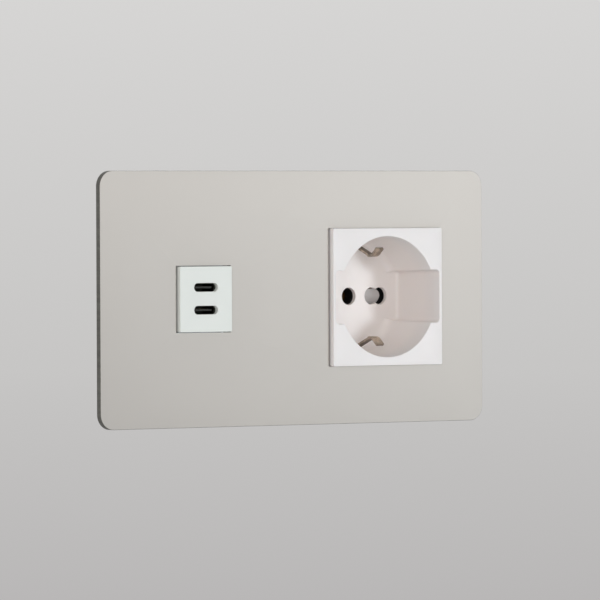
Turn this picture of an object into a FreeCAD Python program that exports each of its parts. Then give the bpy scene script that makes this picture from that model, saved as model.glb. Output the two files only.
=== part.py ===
import FreeCAD, Part

import math
import os

from FreeCAD import Vector

# Two-gang wall plate: a double charging port on the left and a mains outlet on the right.
# Millimetres. X runs to the right, Y into the wall and Z up. The wall face is the plane Y = 0,
# and the origin is the centre of the four slots that take the wall box's screws.

# Face plate
plate_end_margin = 11.5
plate_side_margin = 18.7
plate_thickness = 2.0
plate_corner = 5.0
plate_edge_break = 0.2
module_pitch = 74.0
window_side_gap = 0.6
outlet_end_gap = 0.1
port_end_gap = 0.3

# Mounting frame behind the plate
frame_thickness = 0.8
frame_margin = 6.0
frame_corner = 3.0
frame_lip_depth = 3.0
frame_lip_gap = 0.5
box_screw_rise = 30.0
box_slot_length = 10.0
box_slot_width = 4.2
screw_head_width = 7.4
screw_head_height = 1.0
relief_clearance = 0.3

# Studs on the plate and the spring clips that grip them
stud_gap = 3.8
stud_offset_z = 9.0
stud_width = 3.0
stud_thickness = 1.6
stud_notch = 0.4
stud_length = 4.6
stud_hole_clearance = 0.3
clip_width = 7.0
clip_height = 6.0
clip_leg = 2.2
clip_thickness = 0.5
clip_bend = 0.6
groove_fit = 0.05

# Mains outlet, moulded front
face_proud = 1.85
cap_ledge = 0.3
outlet_corner = 0.5
outlet_edge_break = 0.15
body_wall = 1.2
body_corner = 1.0
frame_fit = 0.2
well_radius = 19.9
well_draft = 0.6
well_depth = 21.35
well_cove = 3.0
cup_wall = 1.2
floor_thickness = 1.5
pocket_depth = 1.6
pocket_wall = 0.8
pocket_draft = 1.1
pocket_height = 17.5
pocket_corner = 1.3
pin_hole_radius = 2.85
inner_pin = 9.5
outer_pin = 13.0
lug_width = 12.0
lug_length = 2.4
lug_rise = 0.8
lug_root = 0.5
boss_size = 4.6
boss_root = 0.1
pilot_depth = 9.0
face_web = 2.4

# Shutter and the plate that carries it
chamber_depth = 2.8
shutter_play = 0.15
barrel_wall = 1.2
hub_fit = 0.05
hub_wall = 1.6
arm_half_width = 2.4
arm_end_radius = 2.6
arm_cover = 1.85
arm_ramp = 0.8
carrier_thickness = 1.4
carrier_fit = 0.2
anchor_side = 4.0
anchor_wall = 1.2
anchor_height = 3.0
spring_thickness = 0.3
spring_width = 1.4
spring_bend = 1.0
spring_tail = 1.5
spring_crown = 2.4
spring_finger_gap = 0.75
spring_span = 5.0
spring_lift = 0.6
spring_toe = 2.6
spring_toe_overlap = 1.6

# Earth contacts
finger_width = 3.0
finger_leg_width = 2.0
finger_shoulder = 1.2
finger_thickness = 0.8
finger_bend = 0.9
tip_depth = 4.45
tip_inset = 4.0
apex_depth = 7.95
apex_inset = 6.5
leg_depth = 16.85
leg_inset = 3.2
finger_seat = 0.15
finger_slot_side = 0.5
finger_slot_in = 0.3
finger_slot_out = 1.5
bridge_width = 6.0
bridge_thickness = 0.8
bridge_play = 0.2
earth_pin_radius = 2.5
earth_tube_wall = 0.6
earth_tube_floor = 0.8
earth_tube_gap = 1.0
earth_tube_slit = 0.8
earth_slit_start = 1.0
earth_slit_end = 2.0

# Live and neutral contacts
strip_thickness = 0.6
strip_bend = 0.7
contact_edge = 2.5
contact_start = 1.2
flare_gap = 5.6
flare_length = 2.2
jaw_gap = 3.6
jaw_length = 3.2
channel_gap = 5.0
jaw_slit = 0.6
jaw_slit_length = 7.0
tail_width = 6.0

# Rear housing of the outlet and its terminals
chamber_length = 11.6
base_wall = 1.5
divider = 1.2
divider_gap = 1.6
divider_seat = 0.4
terminal_block = 6.0
terminal_length = 6.2
terminal_side_gap = 1.3
terminal_end_gap = 1.1
terminal_bore_radius = 1.5
thread_fit = 0.05
tail_hole_clearance = 0.25
terminal_head_radius = 2.4
terminal_head_height = 1.4
clamp_wall = 1.4
window_margin = 0.5
wire_entry = 3.6
wire_hole = 3.2
case_screw_radius = 0.95
case_screw_bite = 8.0
case_screw_head_radius = 1.9
case_screw_head_height = 1.2
case_screw_sink = 0.1
case_screw_clearance = 0.25

# Charging port module
port_width = 20.7
port_height = 21.2
port_proud = 1.4
port_wall = 1.2
port_front_wall = 1.4
port_pitch = 7.0
slot_width = 9.55
slot_height = 3.0
flange_width = 36.0
flange_height = 43.0
flange_thickness = 1.6
case_wall = 1.5
case_corner = 2.0
case_edge_break = 1.0
case_fit = 0.2
shell_width = 8.34
shell_height = 2.56
shell_wall = 0.3
shell_length = 6.6
tongue_width = 6.7
tongue_thickness = 0.7
tongue_set_back = 0.15
tongue_edge_break = 0.15
tongue_root_height = 2.2
tongue_root_length = 1.4
board_thickness = 1.2
board_end_gap = 3.5
board_side_gap = 0.5
port_board_inset = 2.0
port_board_gap = 3.0
board_spacing = 12.1
board_notch = 2.0
post_size = 3.2
fixing_boss_radius = 2.4
fixing_screw_radius = 1.05
fixing_head_radius = 2.0
fixing_boss_length = 7.0
fixing_floor = 0.8
fixing_tip_gap = 1.0

# Parts on the boards
core_width = 15.0
core_height = 13.0
core_length = 10.5
core_leg = 3.4
core_side_gap = 2.0
core_pin_gap = 1.0
coil_gap = 0.3
coil_overhang = 2.0
coil_corner = 1.2
input_can_radius = 3.6
input_can_length = 10.4
output_can_radius = 2.6
output_can_length = 7.0
can_gap = 0.6
pin_size = 0.64
pin_pitch = 2.54
pin_inset = 4.2
port_chip_size = 6.0
port_chip_height = 0.9
port_chip_x = 8.0
port_chip_z = 4.0
power_chip_width = 8.0
power_chip_height = 1.2
inlet_width = 16.0
inlet_height = 8.0
inlet_rim = 1.0
inlet_wall = 0.8
inlet_bore = 3.4
inlet_screw_radius = 1.4
inlet_screw_length = 2.0
inlet_screw_head = 0.6
rivet_gap = 0.1

# Planes, widths and centres worked out from the sizes above
frame_front = -frame_thickness
plate_front = frame_front - plate_thickness
face_front = plate_front - face_proud
floor_front = face_front + well_depth
floor_back = floor_front + floor_thickness
carrier_front = floor_back + chamber_depth
carrier_back = carrier_front + carrier_thickness
base_inside = carrier_back + chamber_length
base_back = base_inside + base_wall
outlet_x = module_pitch / 2
port_x = -module_pitch / 2
pocket_reach = well_radius + pocket_depth
body_width = 2 * (pocket_reach + pocket_wall)
body_height = 2 * (well_radius + cup_wall)
outlet_size = body_width + 2 * cap_ledge
plate_width = module_pitch + body_width + 2 * plate_side_margin
plate_height = 2 * (box_screw_rise + plate_end_margin)
boss_x = body_width / 2 - body_wall - boss_size / 2 + boss_root
boss_z = body_height / 2 - body_wall - boss_size / 2 + boss_root
barrel_radius = pin_hole_radius + barrel_wall
arm_reach = inner_pin + pin_hole_radius + arm_cover
tip_rise = well_radius - tip_inset
apex_rise = well_radius - apex_inset
leg_rise = well_radius - leg_inset
bridge_front = carrier_back + bridge_play
crown_rise = leg_rise - (finger_thickness + spring_thickness) / 2 - spring_finger_gap
anchor_rise = crown_rise - spring_crown
divider_x = terminal_block / 2 + divider_gap + divider / 2
terminal_x = boss_x - boss_size / 2 - terminal_side_gap - terminal_block / 2
terminal_z = -(body_height / 2 - base_wall - terminal_end_gap - terminal_block / 2)
terminal_back = base_inside - bridge_thickness - rivet_gap
passage_centre = terminal_back - clamp_wall - wire_hole / 2
port_face_front = plate_front - port_proud
port_inside = port_face_front + port_front_wall
port_board_front = port_inside + shell_length
port_board_back = port_board_front + board_thickness
power_board_front = port_board_back + board_spacing
power_board_back = power_board_front + board_thickness
fixing_rise = flange_height / 2 - case_wall - case_fit - fixing_boss_radius
power_board_width = flange_width - 2 * case_wall - 2 * board_side_gap
power_board_height = flange_height - 2 * case_wall - 2 * board_end_gap
port_board_width = power_board_width - 2 * port_board_inset
port_board_height = 2 * (fixing_rise - fixing_boss_radius - port_board_gap)
inlet_back = power_board_back + inlet_bore + 2 * inlet_wall
case_depth = inlet_back + case_fit + case_wall
pin_rise = port_board_height / 2 - pin_inset
inlet_passage = (power_board_back + inlet_back) / 2
through = 200.0

X = Vector(1, 0, 0)
Y = Vector(0, 1, 0)
Z = Vector(0, 0, 1)


# Basic shapes. Each is centred on (x, z) and runs from y0 to y1.

def block(width, height, y0, y1, x=0.0, z=0.0):
    """A square-cornered block."""
    return Part.makeBox(width, y1 - y0, height, Vector(x - width / 2, y0, z - height / 2))


def disc(radius, y0, y1, x=0.0, z=0.0):
    """A cylinder along Y."""
    return Part.makeCylinder(radius, y1 - y0, Vector(x, y0, z), Y)


def cone(radius0, radius1, y0, y1, x=0.0, z=0.0):
    """A cone along Y, radius0 at y0 and radius1 at y1."""
    return Part.makeCone(radius0, radius1, y1 - y0, Vector(x, y0, z), Y)


def outline(width, height, corner, y, x=0.0, z=0.0):
    """The wire of a rectangle with round corners, standing at y."""
    a = width / 2
    b = height / 2
    edges = []
    quarters = ((1, 1), (-1, 1), (-1, -1), (1, -1))
    ends = []
    for sx, sz in quarters:
        centre = Vector(x + sx * (a - corner), y, z + sz * (b - corner))
        side = centre + Vector(sx * corner, 0, 0)
        crown = centre + Vector(0, 0, sz * corner)
        bulge = centre + Vector(sx, 0, sz) * (corner * math.sqrt(0.5))
        first, last = (side, crown) if sx * sz > 0 else (crown, side)
        edges.append(Part.Arc(first, bulge, last).toShape())
        ends.append((first, last))
    for (_, leaving), (arriving, _) in zip(ends, ends[1:] + ends[:1]):
        if (arriving - leaving).Length > 1e-6:
            edges.append(Part.makeLine(leaving, arriving))
    return Part.Wire(Part.__sortEdges__(edges))


def slab(width, height, corner, y0, y1, x=0.0, z=0.0):
    """A block with round corners."""
    return Part.Face(outline(width, height, corner, y0, x, z)).extrude(Y * (y1 - y0))


def stadium(length, width, y0, y1, x=0.0, z=0.0):
    """A block whose two ends are half rounds, long way along X."""
    centres = length - width
    ends = [disc(width / 2, y0, y1, x + s * centres / 2, z) for s in (-1, 1)]
    return block(centres, width, y0, y1, x, z).fuse(ends).removeSplitter()


def spun(profile, x=0.0, z=0.0):
    """A turned piece: (radius, y) corners carried once round an axis along Y."""
    points = [Vector(radius, y, 0) for radius, y in profile]
    face = Part.Face(Part.makePolygon(points + points[:1]))
    turned = face.revolve(Vector(0, 0, 0), Y, 360)
    turned.translate(Vector(x, 0, z))
    return turned


def strip_side(points, normal, offset, bend):
    """One side of a bent strip: straight runs joined by arcs round each bend."""
    runs = [(b - a).normalize() for a, b in zip(points, points[1:])]
    edges = []
    start = points[0] + normal.cross(runs[0]) * offset
    for corner, into, out in zip(points[1:-1], runs, runs[1:]):
        side = math.copysign(1, normal.dot(into.cross(out)))
        reach = bend * math.tan(into.getAngle(out) / 2)
        centre = corner - into * reach + normal.cross(into) * (side * bend)
        radius = bend - side * offset
        first = centre - normal.cross(into) * (side * radius)
        last = centre - normal.cross(out) * (side * radius)
        middle = centre + (corner - centre).normalize() * radius
        edges.append(Part.makeLine(start, first))
        edges.append(Part.Arc(first, middle, last).toShape())
        start = last
    edges.append(Part.makeLine(start, points[-1] + normal.cross(runs[-1]) * offset))
    return edges


def bent_strip(points, normal, thickness, width, bend):
    """A flat strip folded along a centre line, its width centred on the points along normal."""
    left = strip_side(points, normal, thickness / 2, bend)
    right = strip_side(points, normal, -thickness / 2, bend)
    caps = [
        Part.makeLine(left[0].Vertexes[0].Point, right[0].Vertexes[0].Point),
        Part.makeLine(left[-1].Vertexes[-1].Point, right[-1].Vertexes[-1].Point),
    ]
    wire = Part.Wire(Part.__sortEdges__(left + right + caps))
    face = Part.Face(wire)
    face.translate(normal * (-width / 2))
    return face.extrude(normal * width)


def edges_in_plane(shape, y, tolerance=1e-4):
    """The edges that lie wholly in the plane at y."""
    return [e for e in shape.Edges
            if abs(e.BoundBox.YMin - y) < tolerance and abs(e.BoundBox.YMax - y) < tolerance]


def joined(first, others):
    """One solid from pieces that overlap."""
    return first.fuse(others).removeSplitter()


# Face plate, its studs and their clips

def stud_places():
    """Centres of the four studs, outboard of the two modules."""
    reach = module_pitch / 2 + body_width / 2 + stud_gap
    return [(sx * reach, sz * stud_offset_z) for sx in (-1, 1) for sz in (-1, 1)]


def box_screw_places():
    """Centres of the four slots that take the wall box's screws."""
    return [(x, sz * box_screw_rise) for x in (port_x, outlet_x) for sz in (-1, 1)]


def make_face_plate():
    """Flat metal plate with two square windows and shallow reliefs milled in its back."""
    plate = slab(plate_width, plate_height, plate_corner, plate_front, frame_front)
    plate = plate.makeChamfer(plate_edge_break, edges_in_plane(plate, plate_front))
    cuts = []
    windows = (
        (outlet_size, outlet_size, outlet_end_gap, outlet_x),
        (port_width, port_height, port_end_gap, port_x),
    )
    for width, height, end_gap, x in windows:
        cuts.append(block(width + 2 * window_side_gap, height + 2 * end_gap,
                          plate_front - 1, frame_front + 1, x))
    relief_height = screw_head_width + 2 * relief_clearance
    relief_length = box_slot_length - box_slot_width + relief_height
    relief_top = frame_front - screw_head_height - relief_clearance
    for x, z in box_screw_places():
        cuts.append(block(relief_length, relief_height, relief_top, frame_front + 1, x, z))
    return plate.cut(cuts)


def make_plate_studs():
    """Flat studs welded to the plate's back, each notched on both sides for its clip."""
    studs = []
    notch_end = clip_thickness + 2 * groove_fit
    neck = stud_width - 2 * stud_notch
    for x, z in stud_places():
        stud = block(stud_width, stud_thickness, frame_front, frame_front + stud_length, x, z)
        notch = block(2 * stud_width, stud_thickness, 0, notch_end, x, z)
        waist = block(neck, stud_thickness, 0, notch_end, x, z)
        studs.append(stud.cut(notch.cut(waist)))
    return Part.makeCompound(studs)


def make_stud_clips():
    """Spring clips behind the frame: a folded strip with an open slot for each stud's waist."""
    clips = []
    middle = groove_fit + clip_thickness / 2
    half = clip_width / 2 - clip_thickness / 2
    throat = stud_width - 2 * stud_notch + 2 * groove_fit
    for x, z in stud_places():
        path = [
            Vector(x - half, middle + clip_leg, z),
            Vector(x - half, middle, z),
            Vector(x + half, middle, z),
            Vector(x + half, middle + clip_leg, z),
        ]
        clip = bent_strip(path, Z, clip_thickness, clip_height, clip_bend)
        top = z + stud_thickness / 2 + groove_fit
        foot = z - clip_height
        clips.append(clip.cut(block(throat, top - foot, -1, clip_leg, x, (top + foot) / 2)))
    return Part.makeCompound(clips)


def make_mounting_frame():
    """Pressed steel frame: two openings, four slots, and lips folded back beside the outlet."""
    width = plate_width - 2 * frame_margin
    height = plate_height - 2 * frame_margin
    frame = slab(width, height, frame_corner, frame_front, 0)
    opening_width = body_width + 2 * frame_fit
    opening_height = body_height + 2 * frame_fit
    cuts = [
        block(opening_width, opening_height, frame_front - 1, 1, outlet_x),
        block(port_width + 2 * frame_fit, port_height + 2 * frame_fit, frame_front - 1, 1, port_x),
    ]
    for x, z in box_screw_places():
        cuts.append(stadium(box_slot_length, box_slot_width, frame_front - 1, 1, x, z))
    for x, z in stud_places():
        cuts.append(block(stud_width + 2 * stud_hole_clearance,
                          stud_thickness + 2 * stud_hole_clearance, frame_front - 1, 1, x, z))
    for x, z in fixing_places():
        bore = fixing_screw_radius + groove_fit
        head = fixing_head_radius + groove_fit
        cuts.append(cone(head, bore, frame_front, 0, x, z))
    frame = frame.cut(cuts)
    lip_length = 2 * (stud_offset_z - clip_height / 2 - frame_lip_gap)
    lips = []
    for side in (-1, 1):
        x = outlet_x + side * (opening_width / 2 + frame_thickness / 2)
        lips.append(block(frame_thickness, lip_length, frame_front, frame_lip_depth, x))
    return joined(frame, lips)


# Mains outlet

def pin_hole_places():
    """X of each round that makes up the holes in the outlet's floor."""
    return [0.0] + [side * x for side in (-1, 1) for x in (inner_pin, outer_pin)]


def pin_holes(y0, y1):
    """The centre earth hole and two holes like a lying 8, right through from y0 to y1."""
    return [disc(pin_hole_radius, y0 - 1, y1 + 1, outlet_x + x) for x in pin_hole_places()]


def make_well():
    """The hollow that takes a plug: a drafted round with a coved floor, and two side pockets."""
    floor_radius = well_radius - well_draft
    cove_centre = floor_radius - well_cove
    top = Vector(0, face_front, 0)
    rim = Vector(well_radius, face_front, 0)
    wall_end = Vector(floor_radius, floor_front - well_cove, 0)
    middle = Vector(cove_centre + well_cove * math.sqrt(0.5),
                    floor_front - well_cove * (1 - math.sqrt(0.5)), 0)
    flat_start = Vector(cove_centre, floor_front, 0)
    centre = Vector(0, floor_front, 0)
    profile = Part.Wire([
        Part.makeLine(top, rim),
        Part.makeLine(rim, wall_end),
        Part.Arc(wall_end, middle, flat_start).toShape(),
        Part.makeLine(flat_start, centre),
        Part.makeLine(centre, top),
    ])
    round_part = Part.Face(profile).revolve(Vector(0, 0, 0), Y, 360)
    round_part.translate(X * outlet_x)
    half_height = pocket_height / 2
    foot_height = half_height - well_draft / 2
    foot_reach = pocket_reach - pocket_draft
    pockets = Part.makeWedge(-pocket_reach, face_front, -half_height, -foot_height, -foot_reach,
                             pocket_reach, floor_front, half_height, foot_height, foot_reach)
    pockets.translate(X * outlet_x)
    slanted = [e for e in pockets.Edges if e.BoundBox.YLength > well_depth / 2]
    pockets = pockets.makeFillet(pocket_corner, slanted)
    return joined(round_part, [pockets])


def finger_slots(y0, y1):
    """Slots at top and bottom that the earth fingers pass through and flex in."""
    low = leg_rise - finger_thickness / 2 - finger_slot_in
    high = leg_rise + finger_thickness / 2 + finger_slot_out
    width = finger_width + 2 * finger_slot_side
    middle = (low + high) / 2
    return [block(width, high - low, y0, y1, outlet_x, side * middle) for side in (-1, 1)]


def boss_places():
    """Two opposite corners of the outlet, where the case screws run."""
    return [(outlet_x - boss_x, boss_z), (outlet_x + boss_x, -boss_z)]


def make_socket_front():
    """Moulded front: square cap, deep cup for the plug, skirt, corner bosses and snap lugs."""
    cap = slab(outlet_size, outlet_size, outlet_corner, face_front, frame_front, outlet_x)
    cap = cap.makeChamfer(outlet_edge_break, edges_in_plane(cap, face_front))
    body = slab(body_width, body_height, body_corner, frame_front, carrier_back, outlet_x)
    inner_width = body_width - 2 * body_wall
    inner_height = body_height - 2 * body_wall
    core_start = face_front + face_web
    core = block(inner_width, inner_height, core_start, carrier_back + 1, outlet_x)
    cup_height = pocket_height + 2 * cup_wall
    cup = joined(
        disc(well_radius + cup_wall, core_start - 1, floor_back, outlet_x),
        [block(body_width, cup_height, core_start - 1, floor_back, outlet_x)],
    )
    bosses = [block(boss_size, boss_size, core_start - 1, carrier_front, x, z)
              for x, z in boss_places()]
    hollow = core.cut([cup] + bosses)
    shell = joined(cap, [body]).cut(hollow)
    lugs = []
    for side in (-1, 1):
        wall = side * body_height / 2
        wedge = Part.makePolygon([
            Vector(0, groove_fit, wall - side * lug_root),
            Vector(0, groove_fit, wall + side * lug_rise),
            Vector(0, groove_fit + lug_length, wall),
            Vector(0, groove_fit + lug_length, wall - side * lug_root),
            Vector(0, groove_fit, wall - side * lug_root),
        ])
        wedge.translate(X * (outlet_x - lug_width / 2))
        lugs.append(Part.Face(wedge).extrude(X * lug_width))
    shell = joined(shell, lugs)
    cuts = [make_well()]
    cuts += pin_holes(floor_front, floor_back)
    cuts += finger_slots(floor_front - well_cove, floor_back + 1)
    for x, z in boss_places():
        cuts.append(disc(case_screw_radius + thread_fit, carrier_front - pilot_depth,
                         carrier_front + 1, x, z))
    return shell.cut(cuts)


def anchor_place():
    """Where the spring's fixed leg is held, beside the barrel."""
    return Vector(outlet_x - anchor_side, 0, anchor_rise)


def make_shutter_carrier():
    """Plate behind the shutter, with the barrel it turns on and the spring's anchor."""
    width = body_width - 2 * body_wall - 2 * carrier_fit
    height = body_height - 2 * body_wall - 2 * carrier_fit
    plate = block(width, height, carrier_front, carrier_back, outlet_x)
    barrel = disc(barrel_radius, floor_back + shutter_play / 2, carrier_back, outlet_x)
    anchor = anchor_place()
    posts = []
    for side in (-1, 1):
        x = anchor.x + side * (spring_thickness / 2 + groove_fit + anchor_wall / 2)
        posts.append(block(anchor_wall, anchor_height, floor_back + shutter_play, carrier_back,
                           x, anchor.z))
    plate = joined(plate, [barrel] + posts)
    cuts = pin_holes(floor_back, carrier_back)
    cuts += finger_slots(carrier_front - 1, carrier_back + 1)
    for x, z in boss_places():
        cuts.append(disc(case_screw_radius + case_screw_clearance, carrier_front - 1,
                         carrier_back + 1, x, z))
    return plate.cut(cuts)


def make_shutter():
    """Ring with two round-ended arms; a ramp along each arm lets a pair of pins turn it."""
    y0 = floor_back + shutter_play
    y1 = carrier_front - shutter_play
    end = arm_reach - arm_end_radius
    ring = disc(barrel_radius + hub_fit + hub_wall, y0, y1, outlet_x)
    arms = [block(2 * end, 2 * arm_half_width, y0, y1, outlet_x)]
    ramps = []
    for side in (-1, 1):
        arms.append(disc(arm_end_radius, y0, y1, outlet_x + side * end))
        edge = -side * arm_end_radius
        start = outlet_x + side * (barrel_radius + hub_fit + hub_wall)
        wedge = Part.makePolygon([
            Vector(start, y0, 0),
            Vector(start, y0, 2 * edge),
            Vector(start, y0 + 2 * arm_ramp, 2 * edge),
            Vector(start, y0, 0),
        ])
        ramps.append(Part.Face(wedge).extrude(X * (side * arm_reach)))
    body = joined(ring, arms)
    return body.cut(ramps + [disc(barrel_radius + hub_fit, y0 - 1, y1 + 1, outlet_x)])


def make_shutter_spring():
    """Flat hairpin spring from its anchor round to the upper edge of the right-hand arm."""
    anchor = anchor_place()
    y = (floor_back + carrier_front) / 2
    rest = arm_end_radius + spring_thickness / 2 + rivet_gap
    toe = outlet_x + inner_pin + spring_toe_overlap
    path = [
        Vector(anchor.x, y, anchor.z - spring_tail),
        Vector(anchor.x, y, anchor.z + spring_crown),
        Vector(anchor.x + spring_span, y, anchor.z + spring_crown),
        Vector(toe - spring_toe, y, rest + spring_lift),
        Vector(toe, y, rest),
    ]
    return bent_strip(path, Y, spring_thickness, spring_width, spring_bend)


def finger_path(side):
    """Centre line of an earth finger, from its front tip over the apex to its foot."""
    return [
        Vector(outlet_x, face_front + tip_depth, side * tip_rise),
        Vector(outlet_x, face_front + apex_depth, side * apex_rise),
        Vector(outlet_x, face_front + leg_depth, side * leg_rise),
        Vector(outlet_x, bridge_front - finger_seat, side * leg_rise),
    ]


def make_earth_finger(side):
    """Sprung earth finger bent to a soft V, its leg narrower, standing on the bridge's end."""
    finger = bent_strip(finger_path(side), X, finger_thickness, finger_width, finger_bend)
    shoulder = face_front + apex_depth + finger_shoulder
    beside = (finger_width - finger_leg_width) / 2
    middle = (finger_leg_width + beside) / 2
    return finger.cut([block(beside, through, shoulder, bridge_front, outlet_x + s * middle)
                       for s in (-1, 1)])


def make_earth_bridge():
    """Strip that joins both fingers, the centre contact and the earth terminal."""
    back = bridge_front + bridge_thickness
    length = 2 * (leg_rise + finger_thickness)
    strip = block(bridge_width, length, bridge_front, back, outlet_x)
    bend_z = terminal_z + terminal_block / 2 + 2 * bridge_thickness
    rear = base_inside - bridge_thickness / 2
    path = [
        Vector(outlet_x, back - bridge_thickness / 2, bend_z),
        Vector(outlet_x, rear, bend_z),
        Vector(outlet_x, rear, terminal_z - terminal_block / 2),
    ]
    tail = bent_strip(path, X, bridge_thickness, tail_width, strip_bend)
    hole = disc(terminal_bore_radius + tail_hole_clearance, rear - 1, base_inside + 1,
                outlet_x, terminal_z)
    centre = disc(pin_hole_radius, bridge_front - 1, back + 1, outlet_x)
    return joined(strip, [tail]).cut([hole, centre])


def make_earth_pin_contact():
    """Slit tube behind the centre hole, seated on the bridge, that grips a round earth pin."""
    y0 = bridge_front + bridge_thickness
    y1 = base_inside - earth_tube_gap
    outer = earth_pin_radius + earth_tube_wall
    tube = disc(outer, y0, y1, outlet_x)
    tube = tube.cut(disc(earth_pin_radius, y0 - 1, y1 - earth_tube_floor, outlet_x))
    return tube.cut(block(earth_tube_slit, through, y0 + earth_slit_start, y1 - earth_slit_end,
                          outlet_x))


def make_pin_contact(side):
    """Folded channel whose jaws take a pin at either spacing, with a tail to its terminal."""
    inner = inner_pin - contact_edge
    outer = outer_pin + contact_edge
    middle = outlet_x + side * (inner + outer) / 2
    half = strip_thickness / 2
    web = base_inside - half
    start = carrier_back + contact_start
    throat = start + flare_length
    upper = [
        Vector(middle, start, flare_gap / 2 + half),
        Vector(middle, throat, jaw_gap / 2 + half),
        Vector(middle, throat + jaw_length, channel_gap / 2 + half),
        Vector(middle, web, channel_gap / 2 + half),
    ]
    lower = [Vector(p.x, p.y, -p.z) for p in reversed(upper)]
    channel = bent_strip(upper + lower, X, strip_thickness, outer - inner, strip_bend)
    end_z = terminal_z - terminal_block / 2
    tail_x = outlet_x + side * terminal_x
    tail = block(tail_width, -end_z, web - half, base_inside, tail_x, end_z / 2)
    slit = block(jaw_slit, through, start - 1, start + jaw_slit_length, middle)
    hole = disc(terminal_bore_radius + tail_hole_clearance, web - 1, base_inside + 1,
                tail_x, terminal_z)
    return joined(channel, [tail]).cut([slit, hole])


def terminal_places():
    """X of the live, earth and neutral terminals."""
    return [outlet_x - terminal_x, outlet_x, outlet_x + terminal_x]


def make_terminal_blocks():
    """Brass clamping blocks with a square wire passage and a threaded bore behind it."""
    blocks = []
    for x in terminal_places():
        body = block(terminal_block, terminal_block, terminal_back - terminal_length,
                     terminal_back, x, terminal_z)
        passage = block(wire_hole, through, passage_centre - wire_hole / 2,
                        passage_centre + wire_hole / 2, x, terminal_z)
        bore = disc(terminal_bore_radius, passage_centre, terminal_back + 1, x, terminal_z)
        blocks.append(body.cut([passage, bore]))
    return Part.makeCompound(blocks)


def make_terminal_screws():
    """Screws that pull each terminal block against its tail and clamp the wire."""
    shank = terminal_bore_radius - thread_fit
    profile = [
        (0, passage_centre),
        (shank, passage_centre),
        (shank, base_inside),
        (terminal_head_radius, base_inside),
        (terminal_head_radius, base_inside + terminal_head_height),
        (0, base_inside + terminal_head_height),
    ]
    return Part.makeCompound([spun(profile, x, terminal_z) for x in terminal_places()])


def make_socket_base():
    """Rear housing: walls, two dividers between the contacts, screw windows and wire entries."""
    outer = slab(body_width, body_height, body_corner, carrier_back, base_back, outlet_x)
    room = block(body_width - 2 * base_wall, body_height - 2 * base_wall,
                 carrier_back - 1, base_inside, outlet_x)
    bosses = [block(boss_size, boss_size, carrier_back - 1, base_inside + 1, x, z)
              for x, z in boss_places()]
    walls = [block(divider, through, carrier_back + divider_seat, base_inside + 1,
                   outlet_x + s * divider_x) for s in (-1, 1)]
    base = outer.cut(room.cut(bosses + walls))
    cuts = []
    window = 2 * (terminal_head_radius + window_margin)
    for x in terminal_places():
        cuts.append(block(window, window, base_inside - 1, base_back + 1, x, terminal_z))
        cuts.append(block(wire_entry, 2 * base_wall, passage_centre - wire_entry / 2,
                          passage_centre + wire_entry / 2, x, (base_wall - body_height) / 2))
    for x, z in boss_places():
        cuts.append(disc(case_screw_radius + case_screw_clearance, carrier_back - 1,
                         base_back + 1, x, z))
        cuts.append(disc(case_screw_head_radius + case_screw_clearance, case_screw_seat(),
                         base_back + 1, x, z))
    return base.cut(cuts)


def case_screw_seat():
    """The plane in the base's back wall that the case screws' heads press on."""
    return base_back - case_screw_head_height - case_screw_sink


def make_case_screws():
    """Two long screws that close the outlet: base, carrier and front."""
    seat = case_screw_seat()
    tip = carrier_front - case_screw_bite
    profile = [
        (0, tip),
        (case_screw_radius, tip),
        (case_screw_radius, seat),
        (case_screw_head_radius, seat),
        (case_screw_head_radius, seat + case_screw_head_height),
        (0, seat + case_screw_head_height),
    ]
    return Part.makeCompound([spun(profile, x, z) for x, z in boss_places()])


# Charging port module

def slot_rises():
    """Z of the two port slots."""
    return (port_pitch / 2, -port_pitch / 2)


def fixing_places():
    """Centres of the two screws that hold the module to the frame."""
    return [(port_x, fixing_rise), (port_x, -fixing_rise)]


def board_posts(width, height, y0, y1):
    """Four square posts under the corners of a board."""
    x = (width - post_size) / 2
    z = (height - post_size) / 2
    return [block(post_size, post_size, y0, y1, port_x + sx * x, sz * z)
            for sx in (-1, 1) for sz in (-1, 1)]


def make_usb_front():
    """Moulded front of the port module: square nose with two slots, on a flange with bosses."""
    nose = slab(port_width, port_height, outlet_corner, port_face_front, flange_thickness, port_x)
    nose = nose.makeChamfer(outlet_edge_break, edges_in_plane(nose, port_face_front))
    flange = slab(flange_width, flange_height, case_corner, 0, flange_thickness, port_x)
    posts = board_posts(port_board_width, port_board_height, 0, port_board_front)
    bosses = [disc(fixing_boss_radius, 0, fixing_boss_length, x, z) for x, z in fixing_places()]
    body = joined(nose, [flange] + posts + bosses)
    cuts = [block(port_width - 2 * port_wall, port_height - 2 * port_wall, port_inside,
                  flange_thickness + 1, port_x)]
    for z in slot_rises():
        cuts.append(stadium(slot_width, slot_height, port_face_front - 1, port_inside + 1,
                            port_x, z))
    for x, z in fixing_places():
        cuts.append(disc(fixing_screw_radius + groove_fit, -1, fixing_boss_length - fixing_floor,
                         x, z))
    return body.cut(cuts)


def make_port_shell(z):
    """Drawn metal shell of one port, seated on the port board behind its slot."""
    outer = stadium(shell_width + 2 * shell_wall, shell_height + 2 * shell_wall,
                    port_inside, port_board_front, port_x, z)
    return outer.cut(stadium(shell_width, shell_height, port_inside - 1, port_board_front + 1,
                             port_x, z))


def make_port_tongue(z):
    """Moulded tongue that carries the contacts, with the block at its root."""
    tip = port_inside + tongue_set_back
    tongue = block(tongue_width, tongue_thickness, tip, port_board_front, port_x, z)
    tongue = tongue.makeChamfer(tongue_edge_break, edges_in_plane(tongue, tip))
    root = block(tongue_width, tongue_root_height, port_board_front - tongue_root_length,
                 port_board_front, port_x, z)
    return joined(tongue, [root])


def make_board(width, height, y0):
    """A circuit board."""
    return block(width, height, y0, y0 + board_thickness, port_x)


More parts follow.
